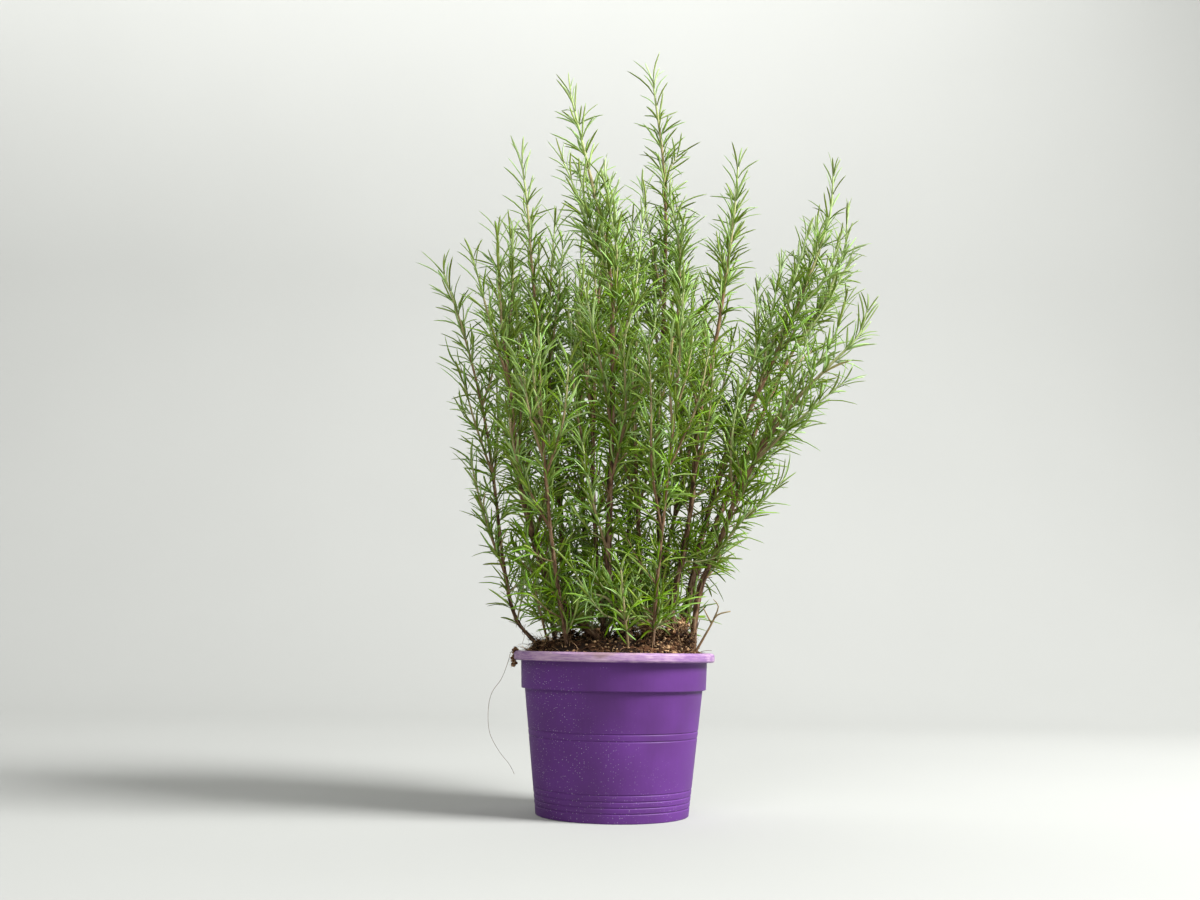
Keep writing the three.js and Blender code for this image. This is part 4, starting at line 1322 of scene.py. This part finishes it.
@dataclass
class Plant:
    """All the shoots of the rosemary."""

    shoots: tuple[Shoot, ...] = (
        Shoot("shoot_left_outer", (-79, -5), 18,
              ((-97, -8, 186), (-110, -12, 232), (-122, -16, 315), (-136, -20, 395), (-159, -24, 479),
               (-180, -28, 538)),
              ((232, ((-126, -22, 274), (-138, -26, 312), (-146, -28, 344))),
               (330, ((-142, -36, 380), (-154, -44, 420))),
               (400, ((-128, -6, 446), (-134, 2, 492)))), 3, 2.0, 1),
        Shoot("shoot_left_front", (-17, -38), 24,
              ((-46, -44, 197), (-66, -50, 228), (-90, -56, 299), (-108, -60, 419), (-119, -58, 501),
               (-123, -54, 572)),
              ((262, ((-68, -76, 310), (-66, -84, 352), (-70, -88, 388))),
               (415, ((-128, -66, 479), (-138, -68, 513), (-146, -68, 541))),
               (440, ((-108, -44, 515), (-109, -38, 556), (-112, -36, 574)))), 4, 3.6, 2),
        Shoot("shoot_left_tall", (-48, 20), 40,
              ((-54, 26, 250), (-61, 28, 346), (-73, 26, 417), (-90, 22, 535), (-99, 18, 627),
               (-106, 15, 675)),
              ((400, ((-72, 10, 488), (-71, 4, 557), (-68, 2, 600))),
               (392, ((-105, 40, 496), (-116, 48, 566), (-115, 50, 604))),
               (396, ((-70, 4, 440), (-65, -2, 500), (-59, -6, 574))),
               (300, ((-78, 8, 370), (-84, -4, 430), (-86, -8, 470)))), 6, 2.8, 2),
        Shoot("shoot_centre_front", (15, -48), 24,
              ((-5, -60, 216), (-7, -72, 301), (-6, -80, 398), (-11, -82, 527), (-31, -78, 623),
               (-53, -72, 714)),
              ((192, ((-9, -70, 208), (-27, -76, 214), (-42, -78, 236))),
               (250, ((-24, -92, 300), (-34, -104, 352))),
               (316, ((6, -92, 378), (5, -104, 452), (14, -108, 486))),
               (366, ((-17, -92, 426), (-31, -104, 486), (-36, -106, 507))),
               (470, ((-4, -98, 540), (-12, -100, 584), (-17, -99, 618))),
               (520, ((-36, -92, 578), (-50, -97, 614), (-58, -97, 632)))), 3, 3.4, 5, 0),
        Shoot("shoot_centre_tall", (60, 32), 50,
              ((51, 34, 221), (47, 38, 273), (44, 40, 389), (49, 36, 530), (48, 30, 661), (34, 24, 773)),
              ((404, ((57, 24, 472), (64, 14, 535), (63, 10, 582), (52, 8, 637))),
               (470, ((30, 58, 530), (26, 66, 580))),
               (520, ((33, 24, 594), (24, 18, 645)))), 4, 3.4, 5),
        Shoot("shoot_right_upright", (62, -20), 48,
              ((56, -26, 199), (66, -34, 252), (74, -42, 306), (80, -48, 385), (98, -54, 475),
               (114, -56, 594), (118, -56, 644)),
              ((330, ((88, -68, 386), (92, -78, 440))),
               (388, ((66, -64, 446), (60, -72, 506))),
               (492, ((110, -44, 560), (114, -42, 586), (114, -42, 598)))), 2, 3.0, 0),
        Shoot("shoot_right_tall", (70, 12), 56,
              ((77, 14, 220), (91, 16, 284), (117, 18, 363), (159, 20, 452), (197, 20, 541),
               (224, 18, 621), (228, 16, 666)),
              ((326, ((121, 4, 395), (140, -4, 458), (144, -6, 530))),
               (430, ((158, 0, 500), (168, -8, 556))),
               (520, ((208, 38, 580), (214, 46, 616))),
               (470, ((188, 4, 512), (216, -6, 548), (228, -10, 584)))), 1, 3.3, 3, -15),
        Shoot("shoot_right_low", (78, -9), 60,
              ((84, -14, 219), (102, -24, 264), (123, -34, 320), (167, -46, 395), (209, -54, 441),
               (237, -58, 471), (246, -60, 496)),
              ((330, ((150, -26, 376), (182, -34, 425), (214, -30, 467), (231, -28, 513))),
               (250, ((128, -46, 292), (148, -54, 310), (164, -58, 328))),
               (296, ((142, -18, 340), (168, -8, 370), (188, -4, 386))),
               (344, ((168, -62, 376), (196, -74, 401), (218, -80, 419)))), 1, 3.3, 3, -25),
        Shoot("shoot_right_back", (62, 52), 60,
              ((92, 58, 253), (136, 66, 361), (186, 74, 473), (232, 76, 553), (251, 74, 605),
               (253, 72, 639)),
              ((330, ((156, 90, 384), (188, 100, 436))),
               (420, ((164, 90, 480), (166, 98, 536))),
               (490, ((226, 98, 530), (244, 104, 572)))), 2, 3.2, 2, -15),
        Shoot("shoot_back_left", (-60, 48), 34,
              ((-76, 66, 240), (-98, 90, 340), (-112, 106, 440), (-120, 112, 534)),
              ((290, ((-110, 64, 350), (-128, 66, 416))),
               (350, ((-84, 110, 420), (-80, 120, 490))))),
        Shoot("shoot_back_centre_left", (-28, 54), 34,
              ((-32, 76, 260), (-38, 98, 380), (-44, 112, 500), (-42, 118, 610)),
              ((320, ((-58, 84, 390), (-66, 84, 456))),
               (430, ((-24, 90, 500), (-18, 82, 560))),
               (360, ((-20, 122, 430), (-14, 134, 500))))),
        Shoot("shoot_back_centre", (14, 70), 34,
              ((14, 90, 250), (18, 110, 370), (16, 124, 490), (8, 130, 596)),
              ((340, ((40, 124, 410), (50, 132, 480))),
               (300, ((4, 72, 370), (0, 66, 440))),
               (430, ((-4, 142, 490), (-10, 150, 550))))),
        Shoot("shoot_back_right", (38, 72), 34,
              ((54, 92, 250), (78, 114, 360), (96, 128, 460), (104, 132, 570)),
              ((300, ((90, 88, 360), (108, 86, 430))),
               (380, ((116, 122, 440), (130, 122, 504))),
               (430, ((84, 106, 500), (84, 98, 556))))),
        Shoot("shoot_middle", (-10, 4), 40,
              ((-18, 6, 240), (-24, 4, 340), (-24, -2, 440), (-20, -4, 540), (-12, -2, 640)),
              ((330, ((-42, -14, 400), (-48, -20, 468))),
               (430, ((4, 14, 500), (10, 22, 566), (14, 24, 612))),
               (290, ((0, 22, 350), (6, 32, 416)))), 12, 2.6, 5),
        Shoot("shoot_front_right", (36, -62), 9,
              ((40, -76, 236), (48, -94, 330), (56, -106, 420), (60, -112, 500)),
              ((270, ((32, -98, 330), (30, -108, 400), (27, -110, 446))),
               (330, ((74, -98, 390), (86, -98, 446)))), 6, 1.7),
        Shoot("shoot_front_left", (-46, -58), 9,
              ((-58, -76, 235), (-68, -96, 320), (-74, -110, 400), (-78, -118, 470)),
              ((270, ((-94, -92, 330), (-106, -96, 386))),
               (320, ((-52, -114, 372), (-48, -120, 424)))), 3, 2.2),
        Shoot("shoot_inner_right", (30, 10), 40,
              ((26, 8, 240), (20, 4, 340), (18, 6, 440), (20, 10, 520)),
              ((300, ((40, -6, 370), (44, -12, 440))),)),
        Shoot("sprig_front", (12, -76), 3, ((8, -86, 196), (4, -94, 236)), (), 1, 1.2, 0,
              needle_length=25.0),
        Shoot("sprig_left", (-66, -32), 5, ((-74, -44, 200), (-88, -56, 262)), (), 1, 1.2, 0),
        Shoot("sprig_back", (-4, 82), 5, ((-8, 98, 210), (-10, 112, 268)), (), 4, 1.2, 0),
    )

    def build(self, mix: GrowingMix, pot: Pot, leaf: bpy.types.Material,
              bark: bpy.types.Material) -> None:
        """Makes every shoot.

        Args:
            mix: What the shoots stand in.
            pot: What their needles keep off.
            leaf: What the needles are made of.
            bark: What the stems are made of.
        """
        total = sum(shoot.build(mix, pot, seed, leaf, bark)
                    for seed, shoot in enumerate(self.shoots, 1))
        LOG.info("needles in all: %d", total)


@dataclass
class DryTwig:
    """A twig that has dried out and lost its needles, with its own forks."""

    foot: tuple[float, float] = (80, -34)
    radius: float = 1.3
    tip_radius: float = 0.6
    stem: tuple[Point, ...] = ((92, -38, 182), (99, -40, 194), (112, -42, 198))
    forks: tuple[Fork, ...] = (
        (190, ((100, -44, 203), (95, -46, 209))), (186, ((91, -34, 192), (86, -32, 202))))
    age: float = 120.0

    def build(self, mix: GrowingMix, bark: bpy.types.Material) -> None:
        """Makes the twig.

        Args:
            mix: What it stands in.
            bark: What it is made of.
        """
        ground = mix.top(*self.foot)
        main = Path([(*self.foot, ground + 4.0), *self.stem])
        foot = np.array([*self.foot, ground - 18.0])
        stems = [Stem(main, Growth.SIDE_SHOOT, self.radius, self.tip_radius, 0, (foot,), self.age)]
        for height, points in self.forks:
            stems.append(Stem(Path([main.at_height(height), *points]), Growth.SIDE_SHOOT,
                              self.radius * 0.7, 0.4, 0, old=self.age))
        draft = MeshDraft()
        for number, stem in enumerate(stems):
            stem.bark(draft, 500.0 + number)
        place(draft.to_object("dry_twig_bark", bark), Slot.BARK, "dry_twig")


@dataclass
class RimDebris:
    """What clings to the outside of the pot: a clump of coir on the rim's left end, with a long
    root hair that hangs from it."""

    clump: Point = (-99.5, -12.0, 152.0)
    crumbs: int = 34
    fibres: int = 30
    thread: tuple[Point, ...] = (
        (-97, -14, 158.4), (-101.5, -16, 156), (-104, -18, 147), (-110, -20, 130), (-119, -22, 116),
        (-122, -23, 101), (-120, -24, 78), (-110, -24, 60), (-100, -24, 48), (-95, -24, 39))
    thread_radius: float = 0.24
    thread_rings: int = 90
    thread_sides: int = 5

    def build(self, mix: GrowingMix, bark: bpy.types.Material) -> None:
        """Makes the clump and the root hair.

        Args:
            mix: What the clump is made of.
            bark: What the root hair is made of.
        """
        rng = random.Random(9)
        draft = MeshDraft()
        centre = np.array(self.clump)
        for number in range(self.crumbs):
            drop = rng.uniform(-10, 7)
            offset = np.array([rng.gauss(0.4, 0.8), rng.gauss(0, 1.8), drop])
            draft.add(mix.crumb(centre + offset, rng.uniform(1.2, 2.3), number * 2.3),
                      tone=rng.uniform(0.3, 0.8))
        for _ in range(self.fibres):
            offset = np.array([rng.gauss(0.4, 0.8), rng.gauss(0, 2.0), rng.uniform(-8, 6)])
            way = unit(np.array([rng.gauss(-0.1, 0.3), rng.gauss(0, 0.6), rng.gauss(-0.5, 0.7)]))
            draft.add(mix.fibre(centre + offset, way, rng.uniform(3, 8), rng.uniform(0.25, 0.6), rng),
                      tone=rng.uniform(0.3, 1.0))
        place(draft.to_object("rim_clump", mix.coir), Slot.GROWING_MIX)

        path = Path(self.thread)
        centres = np.array([path.at(t) for t in np.linspace(0, path.length, self.thread_rings)])
        radii = self.thread_radius * np.linspace(1.0, 0.6, self.thread_rings)
        hair = MeshDraft()
        hair.add(tube(centres, radii, self.thread_sides), age=0.7, ring_x=0.0, ring_y=0.0,
                 ring_z=np.repeat(np.arange(float(self.thread_rings)), self.thread_sides))
        place(hair.to_object("root_hair", bark), Slot.BARK)


@dataclass
class Studio:
    """A pale floor that runs up into a backdrop, and soft lights."""

    width: float = 9000.0
    front: float = -3200.0
    bend_start: float = 1500.0
    bend_radius: float = 1400.0
    bend_steps: int = 24
    wall_top: float = 4200.0
    sky: str = "#f4f5f1"
    sky_strength: float = 0.2
    horizon_strength: float = 0.5

    def build(self, paint: bpy.types.Material) -> None:
        """Makes the floor, the backdrop and the lights.

        Args:
            paint: What the floor and the backdrop are painted with.
        """
        profile = [(self.front, 0.0)]
        for step in range(self.bend_steps + 1):
            angle = step / self.bend_steps * math.pi / 2
            profile.append((self.bend_start + self.bend_radius * math.sin(angle),
                            self.bend_radius * (1 - math.cos(angle))))
        profile.append((profile[-1][0], self.wall_top))
        half = self.width / 2
        points = np.array([(x, y, z) for y, z in profile for x in (-half, half)])
        quads = np.array([(2 * n, 2 * n + 1, 2 * n + 3, 2 * n + 2) for n in range(len(profile) - 1)])
        draft = MeshDraft()
        draft.add((points, [quads]))
        draft.to_object("studio_floor", paint)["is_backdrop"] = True

        world = bpy.data.worlds.new("studio_sky")
        bpy.context.scene.world = world
        world.use_nodes = True
        tree = world.node_tree
        direction = add_node(tree, "TexCoord").outputs["Generated"]
        rise = add_node(tree, "SeparateXYZ", {0: direction}).outputs["Z"]
        strength = add_node(tree, "MapRange", {
            "Value": rise, "From Min": 0.15, "From Max": 0.5, "To Min": self.horizon_strength,
            "To Max": self.sky_strength})
        feed(tree, tree.nodes["Background"], {"Color": self.sky, "Strength": strength})
        self.add_light("key_light", (2300, -900, 2500), (0, 0, 400), (1300, 1300), 310)
        self.add_light("front_light", (-700, -2300, 2000), (0, 0, 350), (1500, 1500), 36)
        self.add_light("wall_light", (-1700, 1500, 3400), (-1700, 2900, 2100), (6500, 1500), 155)
        bpy.context.scene.view_settings.view_transform = "Standard"

    def add_light(self, name: str, at: Point, target: Point, size: tuple[float, float],
                  power: float) -> None:
        """Hangs one soft box.

        Args:
            name: What it is called.
            at: Where it hangs.
            target: What it points at.
            size: Its width and its height.
            power: How bright it is, in watts.
        """
        light = bpy.data.lights.new(name, "AREA")
        light.shape = "RECTANGLE"
        light.size, light.size_y = (side * METRES for side in size)
        light.energy = power
        lamp = bpy.data.objects.new(name, light)
        bpy.context.scene.collection.objects.link(lamp)
        place_at, look_at = Vector(at) * METRES, Vector(target) * METRES
        lamp.location = place_at
        lamp.rotation_euler = (look_at - place_at).to_track_quat("-Z", "Y").to_euler()


@dataclass
class PhotoCamera:
    """The camera, where the photographer stood."""

    at: Point = (-17.2, -1294.0, 165.0)
    pitch: float = 8.6  # degrees upwards
    roll: float = 0.9  # degrees that the right side of the picture is lower
    focal_pixels: float = 1280.0
    picture_width: float = 1200.0
    sensor: float = 36.0

    def build(self) -> None:
        """Makes the camera and points it."""
        data = bpy.data.cameras.new("photo_camera")
        data.sensor_width = self.sensor
        data.lens = self.sensor * self.focal_pixels / self.picture_width
        pitch, roll = math.radians(self.pitch), math.radians(self.roll)
        ahead = Vector((0, math.cos(pitch), math.sin(pitch)))
        level, over = Vector((1, 0, 0)), Vector((0, -math.sin(pitch), math.cos(pitch)))
        right = level * math.cos(roll) + over * math.sin(roll)
        above = over * math.cos(roll) - level * math.sin(roll)
        camera = bpy.data.objects.new("photo_camera", data)
        camera.matrix_world = Matrix.Translation(Vector(self.at) * METRES) @ Matrix(
            (right, above, -ahead)).transposed().to_4x4()
        bpy.context.scene.collection.objects.link(camera)
        bpy.context.scene.camera = camera


def corners() -> list[list[float]]:
    """Measures the box around what shows, from its lowest to its highest corner, in metres."""
    return [list(corner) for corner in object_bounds()]


def main() -> None:
    """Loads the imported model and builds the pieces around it."""
    logging.basicConfig(level=logging.INFO, format="%(message)s")
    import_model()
    PhotoCamera().build()
    Studio().build(MattPaint().make())
    coir, leaf, bark = CoirMix().make(), WaxedLeaf().make(), RidgedBark().make()
    pot, mix = Pot(), GrowingMix(coir)
    pot.build(FadedPolypropylene().make())
    mix.build()
    Plant().build(mix, pot, leaf, bark)
    DryTwig().build(mix, bark)
    RimDebris().build(mix, bark)
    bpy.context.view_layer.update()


if __name__ == "__main__":
    main()
